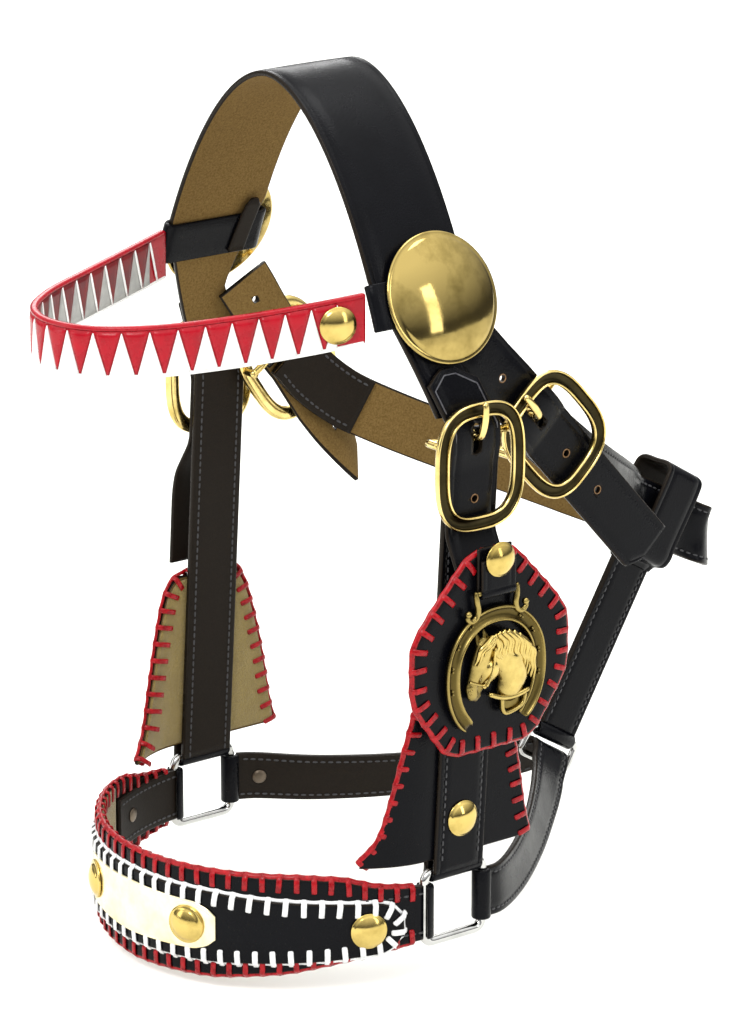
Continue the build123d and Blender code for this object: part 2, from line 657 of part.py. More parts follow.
# ---- medallion ----------------------------------------------------------------------------------
def pad_outline(grow):
    """Rounded six-sided pad, wide in the middle, in (y, z)."""
    top, half = PAD_TOP + grow, PAD_HALF + grow
    low = PAD_TOP - PAD_HEIGHT - grow
    corners = [(-13, top), (13, top), (half - 9, PAD_TOP - 30), (half, PAD_TOP - 42),
               (half, PAD_TOP - 72), (27, low), (-27, low), (-half, PAD_TOP - 72),
               (-half, PAD_TOP - 42), (9 - half, PAD_TOP - 30)]
    face = make_face(Polyline(*[(MEDALLION_Y + y, z) for y, z in corners], close=True))
    return fillet(face.vertices(), 7.0)


def medallion():
    x = MEDALLION_X
    pad = extrude(Plane.YZ.offset(x) * pad_outline(0), amount=3.0)
    save("medallion_pad", pad)
    rim = extrude(Plane.YZ.offset(x + 0.4) * pad_outline(1.6), amount=2.2)
    save("pad_lacing", rim - extrude(Plane.YZ.offset(x - 1) * pad_outline(0.05), amount=6))
    front = x + 3.0 + LAYER_GAP
    tab_z = PAD_TOP - 3.0
    tab = Location((front + 1.0, MEDALLION_Y, tab_z - 4)) * Box(2.0, 22, 20)
    eye_z = tab_z - 17.0
    eye = cylinder((front + 3.0, MEDALLION_Y - 11, eye_z), (front + 3.0, MEDALLION_Y + 11, eye_z), 3.0)
    tab = tab + eye - cylinder((front + 3.0, -40, eye_z), (front + 3.0, 60, eye_z), 1.6)
    save("medallion_tab", tab)
    stud = dome(Vector(front + 2.1, MEDALLION_Y, tab_z), Vector(1, 0, 0), 9.0, 3.4, 1.0)
    save("tab_stud", stud)
    brass(front + 3.0, eye_z)


SHOE_R = 32.0           # outer radius of the horseshoe's crown
SHOE_THICK = 3.0


def brass(x, eye_z):
    """Horseshoe open at the bottom, a horse head facing forwards inside it, hung from a wire."""
    cy, cz = MEDALLION_Y, eye_z - 40.0
    back = x - 1.4
    plane = Plane.YZ.offset(back)
    outer = Circle(SHOE_R) + Pos(0, -SHOE_R / 2) * Rectangle(2 * SHOE_R - 5, SHOE_R)
    inner = Circle(SHOE_R - 8.0) + Pos(0, -SHOE_R / 2 - 2) * Rectangle(2 * SHOE_R - 22, SHOE_R + 4)
    shoe = outer - inner
    head = make_face(Polyline((-21, 3), (-18, -6), (-13, -8), (-9, -4), (-5, -9), (-9, -21),
                              (19, -21), (18, -6), (13, 8), (6, 15), (-1, 19), (-6, 15),
                              (-13, 9), close=True))
    link = Pos(0, -19) * Rectangle(2 * SHOE_R - 16, 3)
    flat = Pos(cy, cz) * (shoe + head + link)
    solid = extrude(plane * flat, amount=SHOE_THICK)
    wire = 1.3
    bar = cylinder((x, cy - 14, eye_z), (x, cy + 14, eye_z), wire)
    solid += bar
    for s in (1, -1):
        solid += cylinder((x, cy + s * 12.5, eye_z), (x, cy + s * 12.5, cz + SHOE_R - 8), wire - 0.2)
    save("horse_brass", solid)


def build():
    crown()
    browband()
    buckles()
    noseband()
    overlay()
    name_plate()
    nose_studs()
    lead_ring()
    jaw_strap()
    chin_strap()
    throat_strap()
    medallion()
    cheek_studs = []
    for side in SIDES:
        browband_loop(side)
        tuck_strap(side)
        rosette(side)
        cheek_billet(side)
        cheek_studs.append(sided(cheek_strap(side), side))
        throat_billet(side)
        flaps(side)
        square_ring(side)
    save("cheek_studs", *cheek_studs)


build()
os.makedirs("parts", exist_ok=True)
for name, shape in PARTS.items():
    export_step(shape, f"parts/{name}.step")
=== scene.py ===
"""Looks for the show headstall: leather, lacing, woven browband and cast fittings over the CAD frame.

Sizes are in millimetres in this script and become metres when a mesh is made. +X is the horse's
left, -Y its face and +Z up; the origin is the middle of the crown strap's underside.
"""
from math import asin, copysign, cos, pi, radians, sin

import bmesh
import bpy
from mathutils import Matrix, Vector, noise


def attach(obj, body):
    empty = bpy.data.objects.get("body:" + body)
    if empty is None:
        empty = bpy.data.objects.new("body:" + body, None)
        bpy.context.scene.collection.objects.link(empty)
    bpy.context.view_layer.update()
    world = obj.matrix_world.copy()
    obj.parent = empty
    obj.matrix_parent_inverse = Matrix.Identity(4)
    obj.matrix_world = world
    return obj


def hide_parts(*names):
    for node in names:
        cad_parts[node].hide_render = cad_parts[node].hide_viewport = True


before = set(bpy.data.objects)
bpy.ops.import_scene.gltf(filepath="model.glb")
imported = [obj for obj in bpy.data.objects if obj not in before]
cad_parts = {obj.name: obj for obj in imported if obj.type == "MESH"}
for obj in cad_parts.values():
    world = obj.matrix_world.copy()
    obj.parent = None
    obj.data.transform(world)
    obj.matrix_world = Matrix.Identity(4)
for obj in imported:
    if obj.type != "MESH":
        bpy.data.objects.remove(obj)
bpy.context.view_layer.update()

V = Vector
UP, REAR, OUT = V((0, 0, 1)), V((0, 1, 0)), V((1, 0, 0))
SIDES = {"left": 1, "right": -1}

# ---- dimensions shared with the CAD -------------------------------------------------------------
STRAP, BILLET, DOUBLE, CROWN_THICK = 32.0, 2.6, 3.4, 3.0
ARCH_HALF, ARCH_DROP, CROWN_FOOT = 105.0, 165.0, -160
RING_X, RING_Y, RING_Z = 109.7, 5.3, -418.5
RING_SPAN, RING_WIRE = 38.0, 2.5
NOSE_HALF, NOSE_DEPTH, NOSE_Z = 110.9, 121.0, -424.0
BROW_Z, BROW_DROP, BROW_HEIGHT = -107.5, 10.0, 25.0
CHEEK_BUCKLE = (17.0, -172.0)
CHEEK_FACE = 108.1
BAR_LIFT, FRAME_LIFT, BAR_SHIFT = -1.8, 7.0, 14.0
BUCKLE_W, BUCKLE_H = 50.2, 60.2
HUMP, HUMP_HALF = 2.5, 13.0     # a billet's rise over the buckle's bar
THROAT = {"left": (94.5, 67.5, -172.7, 47.5, 118.0), "right": (92.0, 49.2, -170.0, 56.0, 92.0)}
THROAT_APEX = (273.0, -300.0)
FLAP_TOP, FLAP_BOTTOM = -296.0, -392.5
PAD_X, PAD_Y, PAD_TOP, PAD_HEIGHT, PAD_HALF = 127.5, 13.0, -226.0, 104.0, 50.0
LINK_LEAN, LINK_W, LINK_H, LINK_WIRE = 31.0, 37.5, 16.0, 2.0
LINK_CENTRE = (162.0, -401.0)
LINK_SLACK = 4.3
LEAN_COS, LEAN_SIN = cos(radians(LINK_LEAN)), sin(radians(LINK_LEAN))
PAD_FRONT = PAD_X + 3.1
STUD_Z = PAD_TOP - 3.0
EYE_Z = STUD_Z - 17.0
SHOE_Y, SHOE_Z = PAD_Y, EYE_Z - 40.0
BRASS_X = PAD_FRONT + 1.6       # back of the casting


# ---- number helpers -----------------------------------------------------------------------------
def table(rows, x):
    rows = sorted(rows)
    if x <= rows[0][0]:
        return rows[0][1]
    for (x0, v0), (x1, v1) in zip(rows, rows[1:]):
        if x <= x1:
            return v0 + (v1 - v0) * (x - x0) / (x1 - x0)
    return rows[-1][1]


def blend(a, b, f):
    return a + (b - a) * f


def spread(a, b, count):
    return [blend(a, b, i / count) for i in range(count + 1)]


def spline(points, count):
    """Evenly numbered points on a centripetal Catmull-Rom curve through the given ones."""
    pts = [V(p) for p in points]
    pts = [2 * pts[0] - pts[1]] + pts + [2 * pts[-1] - pts[-2]]
    spans = len(pts) - 3
    out = []
    for i in range(count + 1):
        u = min(i / count * spans, spans - 1e-6)
        k = int(u)
        a, b, c, d = pts[k:k + 4]
        t = [0.0]
        for p, q in ((a, b), (b, c), (c, d)):
            t.append(t[-1] + max(1e-6, (q - p).length ** 0.5))
        s = blend(t[1], t[2], u - k)
        ab = a.lerp(b, (s - t[0]) / (t[1] - t[0]))
        bc = b.lerp(c, (s - t[1]) / (t[2] - t[1]))
        cd = c.lerp(d, (s - t[2]) / (t[3] - t[2]))
        abc = ab.lerp(bc, (s - t[0]) / (t[2] - t[0]))
        bcd = bc.lerp(cd, (s - t[1]) / (t[3] - t[1]))
        out.append(abc.lerp(bcd, (s - t[1]) / (t[2] - t[1])))
    return out


def even_rows(count, points, *others):
    """The line, and lists of vectors that go with it, at evenly spaced points."""
    lengths = [0.0]
    for a, b in zip(points, points[1:]):
        lengths.append(lengths[-1] + (b - a).length)
    out = [[] for _ in range(1 + len(others))]
    k = 0
    for i in range(count + 1):
        want = lengths[-1] * i / count
        while k < len(points) - 2 and lengths[k + 1] < want:
            k += 1
        f = min(1.0, (want - lengths[k]) / max(1e-9, lengths[k + 1] - lengths[k]))
        for made, source in zip(out, (points, *others)):
            made.append(source[k].lerp(source[k + 1], f))
    return out


def arc_length_even(points, count):
    return even_rows(count, points)[0]


def length_of(line):
    return sum((b - a).length for a, b in zip(line, line[1:]))


def tangent(points, i, closed=False):
    """Unit direction of a line of points at one of them."""
    last = len(points) - 1
    if closed:
        return (points[i + 1 if i < last else 0] - points[i - 1]).normalized()
    return (points[min(i + 1, last)] - points[max(i - 1, 0)]).normalized()


def circle(centre, x, y, x_radius, y_radius, sides):
    """Points round an ellipse whose axes lie along x and y."""
    angles = [2 * pi * k / sides for k in range(sides)]
    return [centre + x * (x_radius * cos(a)) + y * (y_radius * sin(a)) for a in angles]


# ---- mesh building ------------------------------------------------------------------------------
class Piece:
    """Collects vertices, faces and the leather-side value, then becomes one object."""

    def __init__(self, name):
        self.name = name
        self.verts, self.faces, self.sides = [], [], []
        self.marks = []

    def add(self, verts, faces, sides=None, mark=0, marks=None):
        base = len(self.verts)
        self.verts += [V(v) for v in verts]
        self.faces += [[base + i for i in f] for f in faces]
        self.sides += sides if sides else [1.0] * len(verts)
        self.marks += marks or [mark] * len(faces)

    def make(self, materials, body="root", replaces=(), side="left"):
        mirrored = side == "right"
        sign = -1 if mirrored else 1
        mesh = bpy.data.meshes.new(self.name)
        verts = [(sign * v.x * 0.001, v.y * 0.001, v.z * 0.001) for v in self.verts]
        faces = [f[::-1] for f in self.faces] if mirrored else self.faces
        mesh.from_pydata(verts, [], faces)
        mesh.update()
        attribute = mesh.attributes.new("side", "FLOAT", "POINT")
        attribute.data.foreach_set("value", self.sides)
        for polygon, mark in zip(mesh.polygons, self.marks):
            polygon.use_smooth = True
            polygon.material_index = mark
        for material in materials:
            mesh.materials.append(material)
        obj = bpy.data.objects.new(self.name, mesh)
        bpy.context.scene.collection.objects.link(obj)
        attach(obj, body)
        if replaces:
            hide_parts(*replaces)
        return obj


def skin(rings, loop=False):
    """Faces joining equal rings of points: a tube with closed ends, or a loop without any."""
    n, m = len(rings[0]), len(rings)
    verts = [p for ring in rings for p in ring]
    faces = []
    for r in range(m if loop else m - 1):
        q = (r + 1) % m
        for i in range(n):
            j = (i + 1) % n
            faces.append([r * n + i, r * n + j, q * n + j, q * n + i])
    if not loop:
        faces.append(list(range(n))[::-1])
        faces.append([(m - 1) * n + i for i in range(n)])
    return verts, faces


def strap_section(low, high, inner, outer, crease, pillow):
    """Cross-section of a strap: (across, out, side) all the way round, edges rounded."""
    width = high - low
    r = min(1.1, 0.42 * (outer - inner), 0.3 * width)

    def face_point(f, top):
        lift = pillow * (1 - (2 * f - 1) ** 2) if top else 0.0
        return blend(low + r, high - r, f), (outer if top else inner) + lift, 1.0 if top else -1.0

    def corner(a, b, degrees):
        return [(a + r * cos(radians(deg)), b + r * sin(radians(deg)), 0.0) for deg in degrees]
    groove = min(2.6, 0.12 * width) / width
    half = 0.45 / width
    stops = [0.0, groove - half, groove, groove + half]
    stops += [blend(groove + half, 1 - groove - half, i / 6) for i in range(1, 6)]
    stops += [1 - s for s in reversed(stops[:4])]
    points = []
    for f in stops:
        a, b, s = face_point(f, True)
        if crease and (abs(f - groove) < 1e-6 or abs(f - 1 + groove) < 1e-6):
            b -= crease
        points.append((a, b, s))
    points += corner(high - r, outer - r, (60, 30, 0)) + corner(high - r, inner + r, (0, -30, -60))
    points += [face_point(f, False) for f in reversed(spread(0, 1, 7))]
    points += corner(low + r, inner + r, (240, 210, 180)) + corner(low + r, outer - r, (180, 150, 120))
    return points


def strap(piece, rows, inner, outer, crease=0.0, pillow=0.0):
    """Add a strap along rows of (point, across, out, low, high)."""
    rings, sides = [], []
    for point, across, out, low, high in rows:
        section = strap_section(low, high, inner, outer, crease, pillow)
        rings.append([point + across * a + out * b for a, b, _ in section])
        sides += [s for _, _, s in section]
    piece.add(*skin(rings), sides)


def bar(piece, points, ups, width, thick, mark=0, round_ends=True, power=0.6):
    """A flat lace or bar swept along points; ups give its flat side's normal."""
    rings = []
    for i, (p, up) in enumerate(zip(points, ups)):
        t = tangent(points, i)
        across = up.cross(t).normalized()
        normal = t.cross(across).normalized()
        w, h = width / 2, thick / 2
        if round_ends and i in (0, len(points) - 1):
            w, h = w * 0.6, h * 0.5
        ring = []
        for k in range(8):
            a = 2 * pi * k / 8 + pi / 8
            c, s = cos(a), sin(a)
            ring.append(p + across * copysign(w * abs(c) ** power, c)
                        + normal * copysign(h * abs(s) ** power, s))
        rings.append(ring)
    piece.add(*skin(rings), mark=mark)


def wire(piece, points, radius, closed=False, sides=12):
    """A round wire along points; radius is a number or a function of the share of the length."""
    rings = []
    across = None
    for i, p in enumerate(points):
        t = tangent(points, i, closed)
        if across is None:
            across = t.orthogonal().normalized()
        across = (across - t * across.dot(t)).normalized()
        r = radius(i / max(1, len(points) - 1)) if callable(radius) else radius
        rings.append(circle(p, across, t.cross(across), r, r, sides))
    piece.add(*skin(rings, closed))


def turned(piece, centre, out, profile, sides=48):
    """A turned shape: profile rows of (radius, height) round the axis out."""
    out = V(out).normalized()
    x = out.orthogonal().normalized()
    y = out.cross(x)
    piece.add(*skin([[p + out * h for p in circle(V(centre), x, y, r, r, sides)] for r, h in profile]))


def dome(radius, height, base, reach, steps, least):
    """Profile rows of a shallow spherical head, from the radius reach in to the middle."""
    cap = (radius**2 + height**2) / (2 * height)
    radii = [reach * (1 - i / steps) for i in range(1, steps + 1)]
    return [(max(r, least), base + (cap**2 - r**2) ** 0.5 - (cap - height)) for r in radii]


def stud_profile(radius, height, base):
    """Flat back, small rolled rim and a shallow spherical head."""
    rows = [(radius * 0.5, 0.0), (radius - 0.6, 0.0), (radius - 0.15, 0.25), (radius, base * 0.6),
            (radius - 0.25, base), (radius - 0.7, base + 0.12)]
    return rows + dome(radius, height, base, radius - 0.8, 14, 0.02)


STITCH_LENGTH, STITCH_SIZE = 2.9, 0.62


def stitches(piece, rows, inset, pitch, lift):
    """Saddle stitches along both edges of a strap, each a small oval lying in the surface."""
    for at_low in (True, False):
        line = [point + across * (low + inset if at_low else high - inset) + out * lift
                for point, across, out, low, high in rows]
        stitch_run(piece, line, [row[2] for row in rows], pitch)


def stitch_run(piece, line, normals, pitch):
    """Ovals at even pitch along a line."""
    count = max(1, int(length_of(line) / pitch))
    even, even_normals = even_rows(count, line, normals)
    for i in range(count):
        a, b = even[i], even[i + 1]
        t = (b - a).normalized()
        n = even_normals[i].normalized()
        side = n.cross(t)
        rings = []
        for f, w in ((-0.5, 0.35), (-0.36, 0.85), (0, 1.0), (0.36, 0.85), (0.5, 0.35)):
            at = (a + b) / 2 + t * (STITCH_LENGTH * f) - n * (0.25 * STITCH_SIZE * (abs(f) > 0.4))
            rings.append([at + side * (STITCH_SIZE * w * cos(k * pi / 3))
                          + n * (STITCH_SIZE * 0.62 * w * sin(k * pi / 3)) for k in range(6)])
        piece.add(*skin(rings))


def blanket_stitch(piece, edge, inward, outward, pitch, reach, thick_in, thick_out, closed=False,
                   lace=3.0, depth=1.0, back_reach=None):
    """Laced edge: a bar over the face at each hole, and a lace along the edge locking the bars.

    edge lists points on the edge's middle; inward and outward give the direction into the band and
    out of its face; thick_in and thick_out are the faces' distances behind and before the edge.
    """
    if closed:
        edge, inward, outward = edge + edge[:1], inward + inward[:1], outward + outward[:1]
    count = max(2, round(length_of(edge) / pitch))
    fine = 6
    line, ins, outs = even_rows(count * fine, edge, inward, outward)
    back_reach = reach if back_reach is None else back_reach
    along, along_up = [], []
    for i, (p, n, o) in enumerate(zip(line, ins, outs)):
        sag = 0.9 * sin(pi * (i % fine) / fine)
        along.append(p - n.normalized() * (1.0 - 0.55 * sag) + o.normalized() * (thick_out * 0.45))
        along_up.append((o.normalized() - n.normalized() * 0.9).normalized())
    bar(piece, along, along_up, lace, depth * 1.8, round_ends=not closed, power=0.8)
    for c in range(count + (0 if closed else 1)):
        i = c * fine
        p, n, o = line[i], ins[i].normalized(), outs[i].normalized()
        t = tangent(line, i)
        wobble = noise.noise(p * 0.11) * 0.9
        slant = t * wobble
        face, back = thick_out + depth * 0.45, -thick_in - depth * 0.45
        path = [p + n * reach + o * (thick_out - depth * 0.6) + slant,
                p + n * (reach - 0.5) + o * (face - 0.1) + slant,
                p + n * (reach - 1.6) + o * (face + 0.25) + slant * 0.8,
                p + n * (reach * 0.45) + o * (face + 0.2) + slant * 0.4,
                p + n * 0.6 + o * (face + 0.1),
                p - n * (depth * 0.9) + o * (face * 0.6),
                p - n * (depth * 1.3) + o * (blend(back, face, 0.4)),
                p - n * (depth * 0.7) + o * (back * 0.8),
                p + n * 0.8 + o * (back - 0.05),
                p + n * (back_reach * 0.5) + o * (back - 0.1),
                p + n * (back_reach - 0.6) + o * (back + 0.1),
                p + n * back_reach + o * (back + depth * 0.8)]
        ups = [o, o, o, o, (o - n * 0.5).normalized(), (o - n).normalized(), -n,
               (-o - n).normalized(), (-o - n * 0.5).normalized(), -o, -o, -o]
        bar(piece, path, ups, lace, depth, power=0.75)


# ---- materials ----------------------------------------------------------------------------------
def new_material(name):
    material = bpy.data.materials.new(name)
    material.use_nodes = True
    tree = material.node_tree
    shader = tree.nodes["Principled BSDF"]
    return material, tree, shader


def node(tree, kind, **values):
    made = tree.nodes.new(kind)
    for key, value in values.items():
        if key in made.inputs:
            made.inputs[key].default_value = value
        else:
            setattr(made, key, value)
    return made


def object_coords(tree):
    return node(tree, "ShaderNodeTexCoord").outputs["Object"]


def noise_tex(tree, coords, scale, detail=3.0, rough=0.55):
    made = node(tree, "ShaderNodeTexNoise", Scale=scale, Detail=detail, Roughness=rough)
    tree.links.new(coords, made.inputs["Vector"])
    return made.outputs["Fac"]


def ramp(tree, value, low, high, start, stop):
    made = node(tree, "ShaderNodeMapRange")
    made.inputs["From Min"].default_value = start
    made.inputs["From Max"].default_value = stop
    made.inputs["To Min"].default_value = low
    made.inputs["To Max"].default_value = high
    tree.links.new(value, made.inputs["Value"])
    return made.outputs["Result"]


def mix_colour(tree, factor, a, b):
    made = tree.nodes.new("ShaderNodeMix")
    made.data_type = "RGBA"
    if hasattr(factor, "node"):
        tree.links.new(factor, made.inputs[0])
    else:
        made.inputs[0].default_value = factor
    for value, socket in ((a, made.inputs[6]), (b, made.inputs[7])):
        if hasattr(value, "node"):
            tree.links.new(value, socket)
        else:
            socket.default_value = (*value, 1)
    return made.outputs[2]


def bumps(tree, shader, layers):
    """Chained bump nodes from (height output, strength, distance in metres)."""
    last = None
    for height, strength, distance in layers:
        made = node(tree, "ShaderNodeBump", Strength=strength, Distance=distance)
        tree.links.new(height, made.inputs["Height"])
        if last:
            tree.links.new(last, made.inputs["Normal"])
        last = made.outputs["Normal"]
    tree.links.new(last, shader.inputs["Normal"])


def leather(name, flesh):
    """Black bridle leather; flesh gives its inner face the brown of the undyed side."""
    material, tree, shader = new_material(name)
    coords = object_coords(tree)
    side = node(tree, "ShaderNodeAttribute", attribute_name="side").outputs["Fac"]
    cloud = noise_tex(tree, coords, 45, 4)
    grain = node(tree, "ShaderNodeTexVoronoi", Scale=1100)
    tree.links.new(coords, grain.inputs["Vector"])
    fibre = noise_tex(tree, coords, 900, 5, 0.7)
    grain_side = ramp(tree, side, 0.0, 1.0, 0.2, 0.9)
    flesh_side = ramp(tree, side, 1.0, 0.0, -0.9, -0.35)
    black = mix_colour(tree, cloud, (0.0012, 0.0012, 0.002), (0.0035, 0.0038, 0.0055))
    edge = mix_colour(tree, fibre, (0.005, 0.0045, 0.004), (0.020, 0.014, 0.009))
    outer = mix_colour(tree, grain_side, edge, black)
    brown = mix_colour(tree, ramp(tree, fibre, 0, 1, 0.3, 0.7), (0.105, 0.062, 0.018),
                       (0.205, 0.130, 0.044))
    colour = mix_colour(tree, flesh_side, outer, brown) if flesh else outer
    tree.links.new(colour, shader.inputs["Base Color"])
    gloss = ramp(tree, cloud, 0.20, 0.32, 0.3, 0.7)
    rough = tree.nodes.new("ShaderNodeMix")
    tree.links.new(flesh_side, rough.inputs[0])
    tree.links.new(gloss, rough.inputs[2])
    rough.inputs[3].default_value = 0.92 if flesh else 0.5
    tree.links.new(rough.outputs[0], shader.inputs["Roughness"])
    shader.inputs["Specular IOR Level"].default_value = 0.09
    bumps(tree, shader, [(grain.outputs["Distance"], 0.16, 0.0004), (fibre, 0.22, 0.0003),
                         (cloud, 0.10, 0.0015)])
    return material


def felt():
    material, tree, shader = new_material("olive_felt")
    coords = object_coords(tree)
    fibre = noise_tex(tree, coords, 1500, 6, 0.8)
    patch = noise_tex(tree, coords, 120, 3)
    base = mix_colour(tree, ramp(tree, fibre, 0, 1, 0.35, 0.65), (0.13, 0.088, 0.016),
                      (0.36, 0.265, 0.070))
    colour = mix_colour(tree, ramp(tree, patch, 0, 0.35, 0.4, 0.7), base, (0.15, 0.10, 0.02))
    tree.links.new(colour, shader.inputs["Base Color"])
    shader.inputs["Roughness"].default_value = 0.95
    shader.inputs["Sheen Weight"].default_value = 0.4
    bumps(tree, shader, [(fibre, 0.7, 0.0008), (patch, 0.3, 0.002)])
    return material


def lacquer(name, colour, darker, rough=0.28, scale=350):
    """Smooth dyed lace or tape with faint lengthwise unevenness."""
    material, tree, shader = new_material(name)
    coords = object_coords(tree)
    cloud = noise_tex(tree, coords, scale, 4)
    tree.links.new(mix_colour(tree, ramp(tree, cloud, 0, 1, 0.35, 0.7), darker, colour),
                   shader.inputs["Base Color"])
    tree.links.new(ramp(tree, cloud, rough - 0.06, rough + 0.12, 0.3, 0.7), shader.inputs["Roughness"])
    shader.inputs["Specular IOR Level"].default_value = 0.22
    shader.inputs["Coat Weight"].default_value = 0.08
    shader.inputs["Coat Roughness"].default_value = 0.15
    bumps(tree, shader, [(cloud, 0.15, 0.0005)])
    return material


def metal(name, colour, dull, rough, wear=0.10):
    """Polished metal with cloudy tarnish and fine hairline marks."""
    material, tree, shader = new_material(name)
    coords = object_coords(tree)
    cloud = noise_tex(tree, coords, 70, 5, 0.6)
    fine = noise_tex(tree, coords, 1400, 2)
    tree.links.new(mix_colour(tree, ramp(tree, cloud, 0, 1, 0.45, 0.75), colour, dull),
                   shader.inputs["Base Color"])
    shader.inputs["Metallic"].default_value = 1.0
    tree.links.new(ramp(tree, cloud, rough, rough + wear, 0.35, 0.75), shader.inputs["Roughness"])
    bumps(tree, shader, [(fine, 0.02, 0.0002), (cloud, 0.035, 0.002)])
    return material


def relief_metal_painted_shade():
    """Cast brass whose low ground is darker than its raised parts: painted shade in the recesses, together
    with patina.
    """
    material, tree, shader = new_material("relief_brass_painted_shade_and_patina")
    coords = object_coords(tree)
    split = node(tree, "ShaderNodeSeparateXYZ")
    tree.links.new(coords, split.inputs["Vector"])
    height = ramp(tree, split.outputs["X"], 0.0, 1.0, (BRASS_X + 1.2) * 0.001, (BRASS_X + 5.2) * 0.001)
    cloud = noise_tex(tree, coords, 260, 5, 0.6)
    raised = mix_colour(tree, cloud, (0.70, 0.53, 0.18), (0.36, 0.27, 0.08))
    # the dark colour of the low ground is painted shade, together with patina
    tree.links.new(mix_colour(tree, height, (0.085, 0.062, 0.018), raised), shader.inputs["Base Color"])
    shader.inputs["Metallic"].default_value = 1.0
    tree.links.new(ramp(tree, height, 0.34, 0.15, 0, 1), shader.inputs["Roughness"])
    bumps(tree, shader, [(cloud, 0.12, 0.0006)])
    return material


def thread():
    material, tree, shader = new_material("black_thread")
    fibre = noise_tex(tree, object_coords(tree), 2500, 3)
    tree.links.new(mix_colour(tree, fibre, (0.010, 0.010, 0.012), (0.055, 0.055, 0.060)),
                   shader.inputs["Base Color"])
    shader.inputs["Roughness"].default_value = 0.55
    bumps(tree, shader, [(fibre, 0.4, 0.0002)])
    return material


BLACK = leather("black_leather", False)
HALF = leather("black_leather_flesh_back", True)
FELT = felt()
THREAD = thread()
RED = lacquer("red_lace", (0.40, 0.003, 0.008), (0.20, 0.001, 0.004))
WHITE = lacquer("white_lace", (0.88, 0.88, 0.87), (0.66, 0.67, 0.68))
RED_BAND = lacquer("red_band", (0.40, 0.002, 0.012), (0.31, 0.002, 0.010), 0.24, 120)
WHITE_BAND = lacquer("white_band", (0.90, 0.90, 0.89), (0.80, 0.80, 0.79), 0.26, 120)
RED_INSIDE = lacquer("red_band_inside", (0.20, 0.010, 0.012), (0.11, 0.005, 0.008), 0.34, 120)
GREY_INSIDE = lacquer("grey_band_inside", (0.42, 0.42, 0.40), (0.32, 0.32, 0.31), 0.4, 120)
BRASS = metal("brass", (0.60, 0.45, 0.14), (0.36, 0.26, 0.065), 0.12)
ROSE = metal("rosette_brass", (0.44, 0.33, 0.11), (0.24, 0.175, 0.05), 0.07)
CAST = metal("cast_brass", (0.80, 0.62, 0.24), (0.44, 0.33, 0.09), 0.13, 0.14)
# near-black brass for the buckle frames' hollow: painted shade
RECESS_PAINTED_SHADE = metal("brass_recess_painted_shade", (0.035, 0.028, 0.012), (0.018, 0.014, 0.006), 0.30)
# horse brass with painted shade, and patina, on its low ground
RELIEF_PAINTED_SHADE = relief_metal_painted_shade()
PLATE = metal("plate_brass", (0.96, 0.88, 0.60), (0.88, 0.74, 0.40), 0.26)
NICKEL = metal("nickel", (0.56, 0.56, 0.55), (0.38, 0.38, 0.36), 0.10)
RIVET = metal("rivet", (0.20, 0.16, 0.12), (0.10, 0.08, 0.06), 0.32)
RAW = lacquer("raw_hole_rim", (0.30, 0.17, 0.08), (0.14, 0.075, 0.03), 0.5)
CREASE = lacquer("crease_line", (0.10, 0.10, 0.11), (0.05, 0.05, 0.06), 0.35)


# ---- crown, loops and rosettes ------------------------------------------------------------------
def arch_x(z):
    s = min(1.0, max(0.0, -z / ARCH_DROP))
    return ARCH_HALF * (1 - (1 - s) ** 1.3) ** 0.55


def arch_z(x):
    v = min(1.0, abs(x) / ARCH_HALF) ** (1 / 0.55)
    return -ARCH_DROP * (1 - (1 - v) ** (1 / 1.3))


def arch_out(z):
    slope = (arch_x(z - 1) - arch_x(min(0.0, z + 1))) / 2
    return V((1, 0, slope)).normalized()


CROWN_FRONT = [(-172, 0.5), (-92, -30.0), (0, -30.0)]
CROWN_REAR = [(-172, 33.0), (-134, 16.0), (-84, 30.0), (0, 30.0)]


def crown():
    half = [(V((0, 0, 0)), V((0, 0, 1)))]
    turns = 40
    for i in range(1, turns):
        x = ARCH_HALF * sin(pi / 2 * i / turns)
        z = arch_z(x)
        if z > CROWN_FOOT + 3:
            half.append((V((x, 0, z)), arch_out(z)))
    half.append((V((arch_x(CROWN_FOOT), 0, CROWN_FOOT)), arch_out(CROWN_FOOT)))
    path = [(V((-p.x, 0, p.z)), V((-n.x, 0, n.z))) for p, n in reversed(half[1:])] + half
    rows = [(p, -REAR, n, -table(CROWN_REAR, p.z), -table(CROWN_FRONT, p.z)) for p, n in path]
    piece = Piece("crown")
    strap(piece, rows, 0, CROWN_THICK, crease=0.35, pillow=0.25)
    piece.make([HALF], replaces=["crown_strap"])
    for side in SIDES:
        browband_loop(side)
        tuck(side)
        rosette(side)


def browband_loop(side):
    """The loop round the crown's leg; each of its sections stands up and down the leg."""
    end, inner, outer = 30.4 - 3, -0.1, CROWN_THICK + 0.1

    def corner(y, off, degrees):
        return [(y + 3 * sin(radians(d)), off + 1.6 * cos(radians(d)), d) for d in degrees]
    steps = [(y, outer, 0) for y in spread(-end, end, 10)]
    steps += corner(end, outer - 1.6, (30, 60, 90)) + corner(end, inner + 1.6, (90, 120, 150))
    steps += [(y, inner, 180) for y in spread(end, -end, 10)]
    steps += corner(-end, inner + 1.6, (210, 240, 270)) + corner(-end, outer - 1.6, (270, 300, 330))
    rings = []
    for y, off, deg in steps:
        ring = []
        for h, thick in section_of_loop(-92.0, -114.0, 2.2):
            across, away = y + thick * sin(radians(deg)), off + thick * cos(radians(deg))
            ring.append(V((arch_x(h), 0, h)) + REAR * across + arch_out(h) * away)
        rings.append(ring)
    piece = Piece(f"loop_{side}")
    piece.add(*skin(rings, True))
    piece.make([BLACK], replaces=[f"browband_loop_{side}"], side=side)


